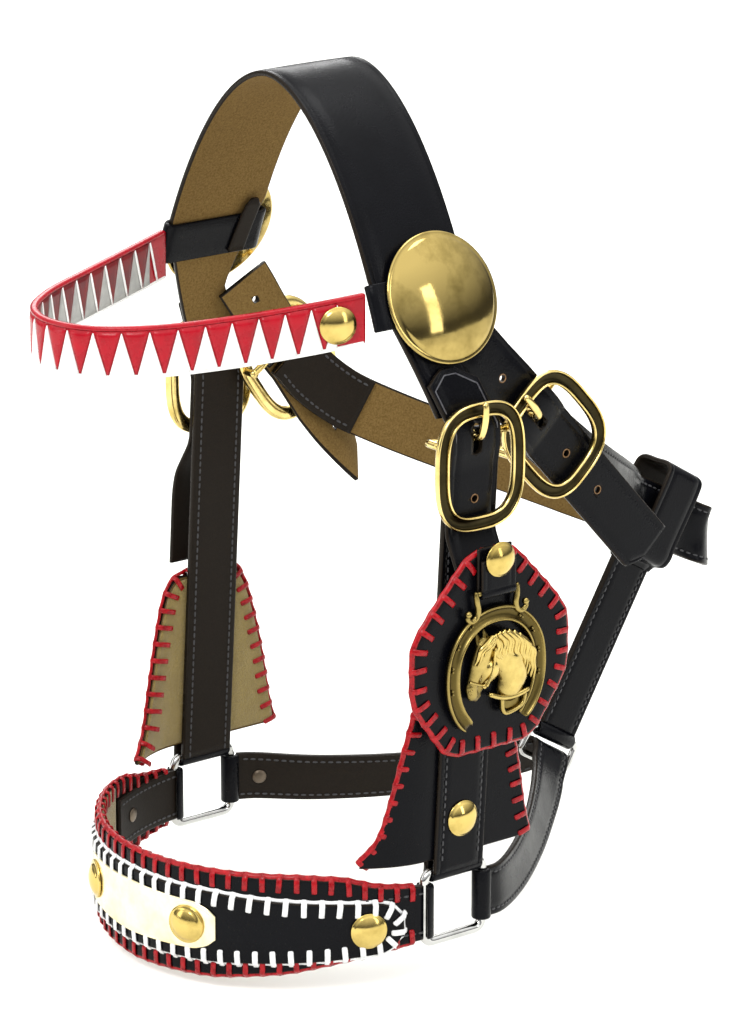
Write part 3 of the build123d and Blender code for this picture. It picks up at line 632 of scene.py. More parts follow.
def tuck(side):
    """The short strap end tucked under the crown at the loop."""
    rows = []
    for z in spread(-82, -112, 8):
        tip = table([(-86, 1.0), (-82, 0.45)], z)
        lo, hi = table([(-145, 5), (-85, 14)], z), table([(-145, 15), (-85, 24)], z)
        middle, reach = (lo + hi) / 2, (hi - lo) / 2 * tip
        rows.append((V((arch_x(z), 0, z)), REAR, arch_out(z), middle - reach, middle + reach))
    piece = Piece(f"tuck_{side}")
    strap(piece, rows, -4.4, -2.4, pillow=0.1)
    piece.make([BLACK], replaces=[f"tuck_strap_{side}"], side=side)


def rosette(side):
    z, radius = -104.0, 34.0
    out = arch_out(z)
    centre = V((arch_x(z), 9.0, z)) + out * (CROWN_THICK + 2.5)
    rows = [(12.0, 0.0), (radius - 1.4, 0.0), (radius - 0.4, 0.3), (radius, 1.0), (radius - 0.3, 1.7),
            (radius - 1.0, 2.0), (radius - 1.8, 1.75)]
    rows += dome(radius, 8.0, 1.6, radius - 2.2, 26, 0.03)
    piece = Piece(f"rosette_disc_{side}")
    turned(piece, centre, out, rows, sides=96)
    piece.make([ROSE], replaces=[f"rosette_{side}"], side=side)


def section_of_loop(top, bottom, wall):
    """(height, thickness) round the loop's own section, edges rounded."""
    r = 0.7
    rows = [(h, wall) for h in spread(top - r, bottom + r, 4)]
    rows += [(bottom + r * (1 - sin(radians(45))), wall - r * (1 - cos(radians(45)))), (bottom, wall - r),
             (bottom, 0.3), (bottom + 0.3, 0.0)]
    rows += [(h, 0.0) for h in spread(bottom + 1, top - 1, 3)]
    rows += [(top - 0.3, 0.0), (top, 0.3), (top, wall - r),
             (top - r * (1 - sin(radians(45))), wall - r * (1 - cos(radians(45))))]
    return rows


# ---- browband -----------------------------------------------------------------------------------
BROW_PLAN = [(0, -162), (24, -155), (44, -133), (60, -99), (74, -62), (84, -33)]
TEETH = 22


def brow_rows(count):
    line = [(-x, y, 0) for x, y in reversed(BROW_PLAN[1:])] + [(x, y, 0) for x, y in BROW_PLAN]
    points = arc_length_even(spline(line, 400), count)
    rows = []
    for i, p in enumerate(points):
        u = i / count
        t = tangent(points, i)
        drop = BROW_DROP * (1 - abs(2 * u - 1) ** 2)
        rows.append((V((p.x, p.y, BROW_Z - drop)), UP, V((t.y, -t.x, 0)), u))
    return rows


def browband():
    count = 264
    rows = brow_rows(count)
    half = BROW_HEIGHT / 2
    band = Piece("browband_core")
    strap(band, [(p, a, o, -half, half) for p, a, o, _ in rows], 0.0, 2.9)
    for edge, thick, mark in ((half - 0.5, 4.1, 0), (-half + 0.5, 3.9, 1)):
        line = [p + UP * edge + o * 1.5 for p, _, o, _ in rows]
        bar(band, line, [o for _, _, o, _ in rows], 2.6, thick, mark=mark, power=0.8)
    band.make([RED_BAND, WHITE_BAND], replaces=["browband"])
    weave = Piece("browband_teeth")
    first, last = 12, count - 12
    per = (last - first) / TEETH
    low, high = -half + 0.9, half - 1.6
    for k in range(TEETH):
        a, b = first + k * per, first + (k + 1) * per
        tooth(weave, rows, a + 0.35, b - 0.35, high, (a + b) / 2, low + 0.6, 2.95, 3.85, 0)
        tooth(weave, rows, a + 0.35, b - 0.35, high, (a + b) / 2, low + 0.6, 0.05, -0.45, 2)
    for k in range(TEETH + 1):
        middle = first + k * per
        a, b = max(first + 0.2, middle - per / 2 + 0.5), min(last - 0.2, middle + per / 2 - 0.5)
        tooth(weave, rows, a, b, low, middle, high - 0.9, 2.95, 4.05, 1)
        tooth(weave, rows, a, b, low, middle, high - 0.9, 0.05, -0.55, 3)
        slant(weave, rows, middle, middle - per * 0.42, low, high)
    weave.make([RED_BAND, WHITE_BAND, RED_INSIDE, GREY_INSIDE],
               replaces=["browband_weave"])
    studs = Piece("browband_stud_heads")
    for u in (0.045, 0.955):
        p, _, o, _ = rows[round(u * count)]
        turned(studs, p + o * 3.9, o, stud_profile(9.7, 3.2, 1.0))
    studs.make([BRASS], replaces=["browband_studs"])


def at_row(rows, s):
    """Point and outward direction at a fractional row number."""
    s = max(0.0, min(len(rows) - 1.001, s))
    k = int(s)
    f = s - k
    return rows[k][0].lerp(rows[k + 1][0], f), rows[k][2].lerp(rows[k + 1][2], f).normalized()


def tooth(piece, rows, a, b, root, tip_at, tip, back, face, mark):
    """A folded tape triangle from its root edge to its tip, following the band's curve."""
    levels, across = 8, 6
    n = across + 1
    outer = face > back
    turned_over = outer == (root > tip)
    shrink = 0.45 if outer else -0.25

    def spot(i, j, lift):
        f = i / levels
        lo, hi = blend(a, tip_at - 0.12, f), blend(b, tip_at + 0.12, f)
        p, o = at_row(rows, blend(lo, hi, j / across))
        return p + UP * blend(root, tip, f) + o * lift
    verts, grid = [], []
    for i in range(levels + 1):
        for j in range(n):
            rim = j in (0, across) or i in (0, levels)
            verts.append(spot(i, j, face - (shrink if rim else 0.0)))
    for i in range(levels):
        for j in range(across):
            quad = [i * n + j, i * n + j + 1, (i + 1) * n + j + 1, (i + 1) * n + j]
            grid.append(quad[::-1] if turned_over else quad)
    border = (list(range(n)) + [i * n + across for i in range(1, levels + 1)]
              + [levels * n + j for j in range(across - 1, -1, -1)]
              + [i * n for i in range(levels - 1, 0, -1)])
    base, m = len(verts), len(border)
    verts += [spot(*divmod(index, n), back) for index in border]
    for k in range(m):
        q = (k + 1) % m
        quad = [border[k], border[q], base + q, base + k]
        grid.append(quad if turned_over else quad[::-1])
    piece.add(verts, grid, mark=mark)


def slant(piece, rows, at_top, at_bottom, low, high):
    """A thin white strip crossing the band's inside from top to bottom."""
    points, ups = [], []
    for f in spread(0, 1, 6):
        p, o = at_row(rows, blend(at_top, at_bottom, f))
        points.append(p + UP * blend(high, low + 1.0, f) - o * 0.75)
        ups.append(-o)
    bar(piece, points, ups, 1.5, 0.6, mark=1)


# ---- buckles ------------------------------------------------------------------------------------
def placed(v, x, y, z, slope):
    """From the buckle's own frame (bar along Y, +X out, +Z up the billet) to the headstall."""
    a = radians(90 - slope)
    return V((v[0] + x, y + v[1] * cos(a) - v[2] * sin(a), z + v[1] * sin(a) + v[2] * cos(a)))


def ring_outline(width, height, corner, steps=12):
    """A closed oblong with round corners, as (across, up) evenly spaced."""
    rows = []
    for cy, cz, start in ((1, 1, 0), (-1, 1, 90), (-1, -1, 180), (1, -1, 270)):
        for deg in spread(start, start + 90, steps):
            y = cy * (width / 2 - corner) + corner * cos(radians(deg))
            z = cz * (height / 2 - corner) + corner * sin(radians(deg))
            rows.append(V((0, y, z)))
    return [(p.y, p.z) for p in arc_length_even(rows + rows[:1], 96)[:-1]]


def frame_outline(count=96):
    """The buckle's centre line, a rectangle with full corners, as (y, z, outward y, outward z)."""
    def bow(value, half):
        return copysign(half * abs(value) ** (2 / 3), value)
    angles = [radians(deg) for deg in spread(0, 360, 720)]
    half_w, half_h = BUCKLE_W / 2 + 0.5, BUCKLE_H / 2 + 0.5
    closed = [V((0, bow(cos(a), half_w), bow(sin(a), half_h))) for a in angles]
    even = arc_length_even(closed, count)[:-1]
    out = []
    for i, p in enumerate(even):
        t = tangent(even, i, True)
        out.append((p.y, p.z, t.z, -t.y))
    return out


# cast frame: two thin bright ridges with a hollow between, as (outwards in its plane, lift); the hollow is
# painted near-black as shade
FRAME_SECTION = [(2.4, -1.5), (2.8, -0.3), (2.8, 1.0), (2.45, 1.75), (2.05, 1.8), (1.7, 1.2), (1.4, 0.0),
                 (0.4, -0.5), (-1.4, -0.6), (-3.0, -0.3), (-3.4, 0.5), (-3.65, 1.5), (-4.05, 2.0),
                 (-4.55, 1.8), (-4.85, 0.9), (-4.85, -0.4), (-4.5, -1.5), (-3.2, -2.1), (0.8, -2.1)]
FRAME_HOLLOW = range(5, 10)


def buckle_frame(name, x, y, z, slope, side, replaces):
    piece = Piece(name)
    lift = FRAME_LIFT - BAR_LIFT
    rings = []
    for py, pz, ny, nz in frame_outline():
        rings.append([placed((lift + h, py + ny * w, pz - BAR_SHIFT + nz * w), x, y, z, slope)
                      for w, h in FRAME_SECTION])
    verts, faces = skin(rings, True)
    # faces in the hollow take the near-black brass, painted shade
    piece.add(verts, [f[::-1] for f in faces],
              marks=[1 if f[0] % len(FRAME_SECTION) in FRAME_HOLLOW else 0 for f in faces])
    half = BUCKLE_W / 2
    ends = [placed((0, s * half, 0), x, y, z, slope) for s in (-1, 1)]
    wire(piece, [ends[0].lerp(ends[1], f) for f in spread(0, 1, 4)], 1.98, sides=20)
    for s in (-1, 1):
        post = [placed((h, s * half, 0), x, y, z, slope) for h in spread(-1.6, lift - 1.0, 4)]
        wire(piece, post, 2.1, sides=16)
    piece.make([CAST, RECESS_PAINTED_SHADE], body=name, replaces=[replaces], side=side)


# the tongue's eye round the bar, as (outwards from its middle line, along the bar)
EYE_SECTION = [(0.95, -1.2), (0.95, 1.2), (0.4, 2.1), (-0.6, 2.1), (-0.95, 1.4), (-0.95, -1.4),
               (-0.6, -2.1), (0.4, -2.1)]


def buckle_tongue(name, x, y, z, slope, side, replaces):
    piece = Piece(name)
    rest = FRAME_LIFT - BAR_LIFT + 2.4 + 0.6
    spine = [(4.2, 0.2), (7.2, 0.4), (9.6, 1.8), (11.2, 5.0), (rest + 0.6, 9.5), (rest + 1.2, 14.0),
             (rest + 1.2, 17.6), (rest + 0.7, 20.0)]
    points = [placed((h, 0, t), x, y, z, slope)
              for h, _, t in spline([(h, 0, t) for h, t in spine], 28)]
    flat = placed((1, 0, 0), 0, 0, 0, slope)
    rings = []
    for i, p in enumerate(points):
        f = i / (len(points) - 1)
        t = tangent(points, i)
        across = flat.cross(t)
        across = across.normalized() if across.length > 0.1 else REAR
        normal = t.cross(across).normalized()
        w = table([(0, 2.1), (0.6, 2.1), (0.93, 1.7), (1.0, 0.7)], f)
        h = table([(0, 1.7), (0.5, 1.6), (0.93, 1.25), (1.0, 0.5)], f)
        rings.append(circle(p, across, normal, w, h, 14))
    piece.add(*skin(rings))
    eye = []
    for deg in spread(0, 360, 28)[:-1]:
        a = radians(deg)
        eye.append([placed(((3.05 + r) * cos(a), w, (3.05 + r) * sin(a)), x, y, z, slope)
                    for r, w in EYE_SECTION])
    piece.add(*skin(eye, True))
    piece.make([CAST], body=name, replaces=[replaces], side=side)


def buckles():
    for side in SIDES:
        for kind, place in (("cheek", (CHEEK_FACE, *CHEEK_BUCKLE, 90)), ("throat", THROAT[side][:4])):
            face, y, z, slope = place
            for part, build in (("frame", buckle_frame), ("tongue", buckle_tongue)):
                build(f"{kind}_{part}_{side}", face + BAR_LIFT, y, z, slope, side,
                      f"{kind}_buckle_{part}_{side}")


def hump(t):
    """A billet's rise at a distance from the buckle's bar."""
    share = min(1.0, abs(t) / HUMP_HALF)
    return HUMP * cos(pi / 2 * share) ** 0.7 if share < 1.0 else 0.0


def holed(obj, cutters):
    """Cut holes with named cutter meshes, which go afterwards."""
    for cutter in cutters:
        modifier = obj.modifiers.new("hole", "BOOLEAN")
        modifier.operation, modifier.solver, modifier.object = "DIFFERENCE", "EXACT", cutter
    bpy.context.view_layer.update()
    depsgraph = bpy.context.evaluated_depsgraph_get()
    baked = bpy.data.meshes.new_from_object(obj.evaluated_get(depsgraph))
    obj.modifiers.clear()
    obj.data = baked
    for cutter in cutters:
        bpy.data.objects.remove(cutter, do_unlink=True)


def peg(centre, direction, radius, length, stretch=None, sides=20):
    """A cutter: a round peg, or an oblong one when stretch gives half of its extra length."""
    direction = V(direction).normalized()
    x = stretch.normalized() if stretch else direction.orthogonal().normalized()
    y = direction.cross(x)
    outline = []
    for k in range(sides):
        a = 2 * pi * k / sides
        shift = (stretch if cos(a) >= 0 else -stretch) if stretch else V((0, 0, 0))
        outline.append(V(centre) + x * (radius * cos(a)) + y * (radius * sin(a)) + shift)
    rings = [[p + direction * h for p in outline] for h in (-length / 2, length / 2)]
    verts, faces = skin(rings)
    mesh = bpy.data.meshes.new("peg")
    mesh.from_pydata([v * 0.001 for v in verts], [], faces)
    work = bmesh.new()
    work.from_mesh(mesh)
    bmesh.ops.recalc_face_normals(work, faces=work.faces)
    work.to_mesh(mesh)
    work.free()
    obj = bpy.data.objects.new("peg", mesh)
    bpy.context.scene.collection.objects.link(obj)
    return obj


def mirrored(v, side):
    return V((v.x * SIDES[side], v.y, v.z))


def billet_holes(obj, side, face, y, z, slope, rounds):
    """The tongue's oblong hole over the bar and the round holes at these distances."""
    out = V((SIDES[side], 0, 0))
    along = mirrored(placed((0, 0, 5.4), 0, 0, 0, slope), side)
    cutters = [peg(mirrored(placed((4, 0, 0), face, y, z, slope), side), out, 2.9, 16, along)]
    for t in rounds:
        cutters.append(peg(mirrored(placed((3, 0, t), face, y, z, slope), side), out, 1.9, 30))
    holed(obj, cutters)


def hole_rims(piece, y, z, slope, distances, x_at):
    """Raw brown rims round the punched holes on the outer face."""
    for t in distances:
        centre = placed((x_at(t), 0, t), 0, y, z, slope)
        ring = []
        for k in range(20):
            a = 2 * pi * k / 20
            ring.append(centre + placed((0, 2.15 * cos(a), 2.15 * sin(a)), 0, 0, 0, slope))
        wire(piece, ring, 0.32, closed=True, sides=6)


def billet(kind, side, rows, material, buckle, rounds, x_at):
    """A strap with punched holes over a buckle at (face, y, z, slope), and the holes' rims."""
    piece = Piece(f"{kind}_billet_leather_{side}")
    strap(piece, rows, 0, BILLET, crease=0.3, pillow=0.15)
    obj = piece.make([material], replaces=[f"{kind}_billet_{side}"], side=side)
    billet_holes(obj, side, *buckle, rounds)
    rims = Piece(f"{kind}_billet_rims_{side}")
    hole_rims(rims, *buckle[1:], rounds, x_at)
    rims.make([RAW], side=side)


# ---- cheek pieces -------------------------------------------------------------------------------
def cheek_y(z):
    return table([(-400, RING_Y), (-186, 17.0), (-166, 16.2), (-137, 4.0)], z)


def billet_x(z):
    x = arch_x(z) + CROWN_THICK + 0.1 + table([(-172, 0.0), (-160, 0.6)], z)
    x += hump(z - CHEEK_BUCKLE[1])
    return x + table([(-254, 14), (-246, 13), (-240, 11.5), (-231, 6.0), (-221, 0)], z)


def cheek_billets():
    y0, z0 = CHEEK_BUCKLE
    heights = spread(-135.5, -143, 5) + spread(-146, -214, 34) + spread(-216, -290, 40) + [-292.0]
    corners = [(13.4, -172), (13.4, -145.0), (3.6, -138.2)]
    corners = [V((0, -s, t)) for s, t in corners] + [V((0, s, t)) for s, t in reversed(corners)]
    for side in SIDES:
        rows = []
        for z in heights:
            near = [billet_x(z + d) for d in (-3, 0, 3) if z + d <= -135.5]
            out = arch_out(z) if z > CROWN_FOOT else OUT
            tip = table([(-143, 1.0), (-135.5, 0.28)], z)
            rows.append((V((sum(near) / len(near), cheek_y(z), z)), -REAR, out, -16 * tip, 16 * tip))
        billet("cheek", side, rows, BLACK, (CHEEK_FACE, y0, z0, 90), (-32.0, -96.0),
               lambda t: billet_x(z0 + t) + BILLET + 0.1)
        line, ups = [], []
        for a, b in zip(corners, corners[1:]):
            for f in spread(0, 1, 8)[:-1]:
                p = a.lerp(b, f)
                line.append(V((billet_x(p.z) + BILLET + 0.12, p.y + cheek_y(p.z), p.z)))
                ups.append(arch_out(p.z) if p.z > CROWN_FOOT else OUT)
        crease = Piece(f"cheek_billet_crease_{side}")
        bar(crease, line, ups, 0.8, 0.3)
        crease.make([CREASE], side=side)


def cheek_straps():
    y0, z0 = CHEEK_BUCKLE
    inner = ARCH_HALF + CROWN_THICK - DOUBLE
    bar_x = CHEEK_FACE + BAR_LIFT
    low = RING_Z + RING_SPAN / 2
    for side in SIDES:
        piece = Piece(f"cheek_leather_{side}")
        x = OUT
        half = STRAP / 2
        rows = [(V((0, cheek_y(z), z)), -REAR, x, -half, half) for z in spread(z0 - 3.4, low, 60)]
        strap(piece, rows, inner, inner + DOUBLE, crease=0.3)
        for y_a, y_b in ((y0 - half, y0 - TONGUE_GAP), (y0 + TONGUE_GAP, y0 + half)):
            fold(piece, (bar_x, z0), (y_a, y_b), 2.35, 4.2, -90, 190)
        bottom_y = cheek_y(low)
        fold(piece, (RING_X, low), (bottom_y - half, bottom_y + half), 2.9, 5.15, 180, 360)
        up = [(V((0, cheek_y(z), z)), -REAR, x, -half, half) for z in spread(-308, low, 30)]
        strap(piece, up, RING_X + 5.15 - BILLET, RING_X + 5.15, crease=0.35, pillow=0.2)
        piece.make([BLACK], replaces=[f"cheek_strap_{side}"], side=side)
        seam = Piece(f"cheek_stitching_{side}")
        stitches(seam, rows[8:], 4.2, 4.0, inner + DOUBLE + 0.05)
        stitches(seam, rows[2:], 4.2, 4.0, inner - 0.05)
        stitches(seam, up[:-2], 4.2, 4.0, RING_X + 5.2)
        seam.make([THREAD], side=side)
    studs = Piece("cheek_stud_heads")
    for sign in (1, -1):
        centre = V((sign * (RING_X + 5.3), cheek_y(-372), -372))
        turned(studs, centre, (sign, 0, 0), stud_profile(9.7, 3.6, 1.0))
    studs.make([BRASS], replaces=["cheek_studs"])


TONGUE_GAP = 3.1    # half of the gap in a fold that lets the tongue through


def bent_section(lo, hi, steps):
    """A fold's cross-section from (inset, radius) steps over one edge, the same at the other."""
    (inset, radius), *others = steps
    return ([(lo + inset, radius)] + [(hi - a, r) for a, r in steps]
            + [(lo + a, r) for a, r in reversed(others)])


def bend(piece, section, angles, place, flip=False):
    """A section carried round a bar; place takes its (across, radius) and an angle in radians."""
    verts, faces = skin([[place(w, r, radians(deg)) for w, r in section] for deg in spread(*angles)])
    piece.add(verts, [f[::-1] for f in faces] if flip else faces)


def fold(piece, centre_xz, y_range, r_in, r_out, start, stop):
    """A strap bent round a bar along Y: its sides run out at the start and stop angles."""
    cx, cz = centre_xz
    lo, hi = y_range
    edge = min(0.9, (hi - lo) * 0.2)
    section = bent_section(lo, hi, [(edge, r_out), (edge * 0.3, r_out - edge * 0.3), (0, r_out - edge),
                                    (0, r_in + 0.3), (0.3, r_in)])
    bend(piece, section, (start, stop, 24), lambda y, r, a: V((cx + r * cos(a), y, cz + r * sin(a))))


# ---- flaps --------------------------------------------------------------------------------------
FLAP_EDGE = [(-46, -389), (-38, -378), (-31, -354), (-24, -326), (-17, -304), (-10, FLAP_TOP),
             (28, FLAP_TOP), (34, -304), (41, -326), (47, -354), (51, -378), (54, -389)]


def flap_x(y):
    return -0.011 * max(0.0, -12.0 - y) ** 2


def flap_out(y):
    return V((1, flap_x(y - 0.5) - flap_x(y + 0.5), 0)).normalized()


def flap_outline():
    """The laced edge: up the front, over the top and down the back, smoothed."""
    return arc_length_even(spline([(0, y, z) for y, z in FLAP_EDGE], 200), 120)


def flap_layer(piece, inner, outer, inset):
    rows = []
    for y in spread(-46 + inset * 0.8, 54 - inset * 0.8, 60):
        reach = inset * table([(-46, 1.7), (-12, 1.0), (28, 1.0), (54, 1.7)], y)
        top = sum(table(FLAP_EDGE, y + d) for d in (-2, -1, 0, 1, 2)) / 5 - reach
        low = FLAP_BOTTOM + inset
        rows.append((V((RING_X + flap_x(y), y, 0)), UP, flap_out(y), low, max(top, low + 1.5)))
    strap(piece, rows, inner, outer)


def flaps():
    lining_in = ARCH_HALF + CROWN_THICK + 0.1 - RING_X
    for side in SIDES:
        lining = Piece(f"flap_felt_{side}")
        flap_layer(lining, lining_in, lining_in + 1.3, 2.0)
        lining.make([FELT], replaces=[f"flap_lining_{side}"], side=side)
        inner = lining_in + 1.4
        face = Piece(f"flap_leather_{side}")
        flap_layer(face, inner, inner + 2.6, 0.0)
        face.make([HALF], replaces=[f"cheek_flap_{side}"], side=side)
        edge, ins, outs = [], [], []
        outline = flap_outline()
        for i, p in enumerate(outline):
            t = tangent(outline, i)
            edge.append(V((RING_X + flap_x(p.y), p.y, p.z)))
            ins.append(V((0, t.z, -t.y)))
            outs.append(flap_out(p.y))
        lace = Piece(f"flap_lace_{side}")
        blanket_stitch(lace, edge, ins, outs, 9.2, 7.4, -inner + 1.4, inner + 2.6, lace=2.9)
        lace.make([RED], replaces=[f"flap_lacing_{side}"], side=side)


# ---- noseband -----------------------------------------------------------------------------------
NOSE_TOP = [(0, -395), (84, -395), (97, -397), (102, -402), (NOSE_HALF, -406)]
NOSE_LOW = [(0, -453), (50, -451), (80, -446), (97, -440), (NOSE_HALF, -434)]
OVERLAY_HALF = [(0, 20.0), (50, 19.0), (92, 15.5), (107, 13.2)]
OVERLAY_END = -27.0
PLATE_HALF = [(0, 14.5), (42, 13.0), (49, 10.0), (52, 6.0)]


def nose_rows(low, high, end_y, count=120):
    limit = asin(min(1.0, (RING_Y - end_y) / NOSE_DEPTH))
    rows = []
    for i in range(count + 1):
        a = blend(limit, pi - limit, i / count)
        x, y = NOSE_HALF * cos(a), RING_Y - NOSE_DEPTH * sin(a)
        out = V((cos(a) / NOSE_HALF, -sin(a) / NOSE_DEPTH, 0)).normalized()
        rows.append((V((x, y, 0)), UP, out, low(abs(x)), high(abs(x))))
    return rows


def nose_point(x, z, lift):
    y = RING_Y - NOSE_DEPTH * (1 - min(1.0, (x / NOSE_HALF) ** 2)) ** 0.5
    out = V((x / NOSE_HALF**2, (y - RING_Y) / NOSE_DEPTH**2, 0)).normalized()
    return V((x, y, z)) + out * lift, out


def smooth_table(rows, x, reach=3.0):
    return sum(table(rows, x + d * reach) for d in (-1, -0.5, 0, 0.5, 1)) / 5


def laced_edge(piece, rows, top, pitch, reach, thick_in, thick_out, lace):
    """Blanket stitch along the upper or lower edge of an upright band."""
    edge, ins, outs = [], [], []
    for p, _, out, low, high in rows:
        edge.append(V((p.x, p.y, high if top else low)))
        ins.append(V((0, 0, -1 if top else 1)))
        outs.append(out)
    blanket_stitch(piece, edge, ins, outs, pitch, reach, thick_in, thick_out, lace=lace)


def noseband():
    rows = nose_rows(lambda x: smooth_table(NOSE_LOW, x), lambda x: smooth_table(NOSE_TOP, x), -15.5, 160)
    body = Piece("noseband_leather")
    strap(body, rows, 0, 2.8)
    low, high = -434.0, -405.4
    bar_y = RING_Y - RING_SPAN / 2
    tabs = nose_rows(lambda _: low, lambda _: high, bar_y - 1.0, 240)
    for sign in (1, -1):
        strap(body, [r for r in tabs if r[0].x * sign > 88], -2.6, 0.4, crease=0.25)
        bend(body, upright_section(low, high), (-100, 100, 26),
             lambda z, r, a: V((sign * RING_X - r * sin(a), bar_y + r * cos(a), z)))
    body.make([BLACK], replaces=["noseband"])
    seam = Piece("noseband_stitching")
    for sign in (1, -1):
        tab = [r for r in tabs if r[0].x * sign > 90]
        stitches(seam, tab[::3], 3.6, 4.0, -2.65)
        stitches(seam, tab[::3], 3.6, 4.0, 2.9)
    seam.make([THREAD])
    lining = Piece("noseband_felt")
    felt_rows = nose_rows(lambda x: smooth_table(NOSE_LOW, x) + 1.5,
                          lambda x: smooth_table(NOSE_TOP, x) - 1.5, -15.5, 160)
    strap(lining, [r for r in felt_rows if abs(r[0].x) < 87], -1.4, -0.05)
    lining.make([FELT], replaces=["noseband_lining"])
    lace = Piece("noseband_lace")
    for top in (True, False):
        laced_edge(lace, rows[3:-3], top, 8.6, 7.6, 1.4, 2.8, 3.0)
    lace.make([RED], replaces=["noseband_lacing"])
    rivets = Piece("noseband_rivet_heads")
    for sign in (1, -1):
        p, out = nose_point(sign * 97.0, -419.0, -2.7)
        turned(rivets, p, -out, stud_profile(4.0, 0.9, 0.5), sides=24)
    rivets.make([RIVET], replaces=["noseband_rivets"])


def upright_section(lo, hi):
    """The section of the straps bent round the square rings' upright bars."""
    return bent_section(lo, hi, [(0.9, 5.1), (0.2, 4.8), (0, 4.1), (0, 3.1), (0.3, 2.9)])


def overlay():
    def half(x):
        over = min(1.0, max(0.0, nose_point(x, 0, 0)[0].y - OVERLAY_END + 13.0) / 13.0)
        return smooth_table(OVERLAY_HALF, x, 2.0) * max(0.2, 1 - over**2) ** 0.5
    rows = nose_rows(lambda x: NOSE_Z - half(x), lambda x: NOSE_Z + half(x), OVERLAY_END, 240)
    piece = Piece("overlay_leather")
    strap(piece, rows, 2.9, 4.9)
    piece.make([BLACK], replaces=["noseband_overlay"])
    outline = [(p, out, high, 1) for p, _, out, _, high in rows]
    outline += [(p, out, low, -1) for p, _, out, low, _ in reversed(rows)]
    corners = [V((p.x, p.y, z)) for p, _, z, _ in outline]
    edge = arc_length_even(corners + corners[:1], 360)[:-1]
    ins, outs = [], []
    for i, p in enumerate(edge):
        _, out = nose_point(max(-NOSE_HALF, min(NOSE_HALF, p.x)), 0, 0)
        ins.append(out.cross(tangent(edge, i, True)).normalized())
        outs.append(out)
    if ins[80].z * (edge[80].z - NOSE_Z) > 0:
        ins = [-n for n in ins]
    lace = Piece("overlay_lace")
    blanket_stitch(lace, edge, ins, outs, 8.9, 7.0, -2.9, 4.9, closed=True, lace=3.1, depth=1.3,
                   back_reach=1.0)
    lace.make([WHITE], replaces=["overlay_lacing"])


def plate():
    def half(x):
        return smooth_table(PLATE_HALF, x, 1.5)
    end_y = nose_point(52.0, 0, 0)[0].y
    rows = nose_rows(lambda x: NOSE_Z - half(x), lambda x: NOSE_Z + half(x), end_y, 90)
    piece = Piece("blank_plate")
    rings = [[p + across * a + out * b for a, b in plate_section(low, high)]
             for p, across, out, low, high in rows]
    piece.add(*skin(rings))
    piece.make([PLATE], replaces=["name_plate"])
    studs = Piece("plate_stud_heads")
    for x in (38.0, -38.0):
        p, out = nose_point(x, NOSE_Z, 6.3)
        rows = [(9.0, -0.3), (9.9, -0.3), (10.3, 0.2), (10.1, 0.8), (9.4, 0.9)]
        turned(studs, p, out, rows[:5] + stud_profile(9.2, 3.0, 1.0)[5:])
    studs.make([BRASS], replaces=["plate_studs"])
    ends = Piece("overlay_stud_heads")
    for x in (101.0, -101.0):
        p, out = nose_point(x, NOSE_Z, 5.0)
        turned(ends, p, out, stud_profile(9.7, 3.2, 1.0))
    ends.make([BRASS], replaces=["overlay_end_studs"])


def plate_section(low, high):
    """Thin plate with a pressed border line near each long edge."""
    rows = [(low + 0.4, 5.0), (low, 5.4), (low + 0.1, 5.9), (low + 0.5, 6.12)]
    rows += [(low + 1.3, 6.15), (low + 1.7, 5.95), (low + 2.1, 6.1)]
    rows += [(a, 6.12) for a in spread(low + 3.0, high - 3.0, 4)]
    rows += [(high - 2.1, 6.1), (high - 1.7, 5.95), (high - 1.3, 6.15)]
    rows += [(high - 0.5, 6.12), (high - 0.1, 5.9), (high, 5.4), (high - 0.4, 5.0)]
    return rows


# ---- rings --------------------------------------------------------------------------------------
def rings():
    for side in SIDES:
        piece = Piece(f"tie_ring_{side}")
        path = [V((RING_X, RING_Y + y, RING_Z + z))
                for y, z in ring_outline(RING_SPAN, RING_SPAN, 5.0)]
        wire(piece, path, RING_WIRE, closed=True, sides=20)
        piece.make([NICKEL], replaces=[f"square_ring_{side}"], side=side)
    piece = Piece("lead_link")
    y0, z0 = LINK_CENTRE
    path = [V((0, y0 + w * LEAN_COS + h * LEAN_SIN, z0 - w * LEAN_SIN + h * LEAN_COS))
            for w, h in ring_outline(LINK_W, LINK_H, 3.5)]
    wire(piece, path, LINK_WIRE, closed=True, sides=18)
    piece.make([NICKEL], body="lead_ring", replaces=["lead_ring"])


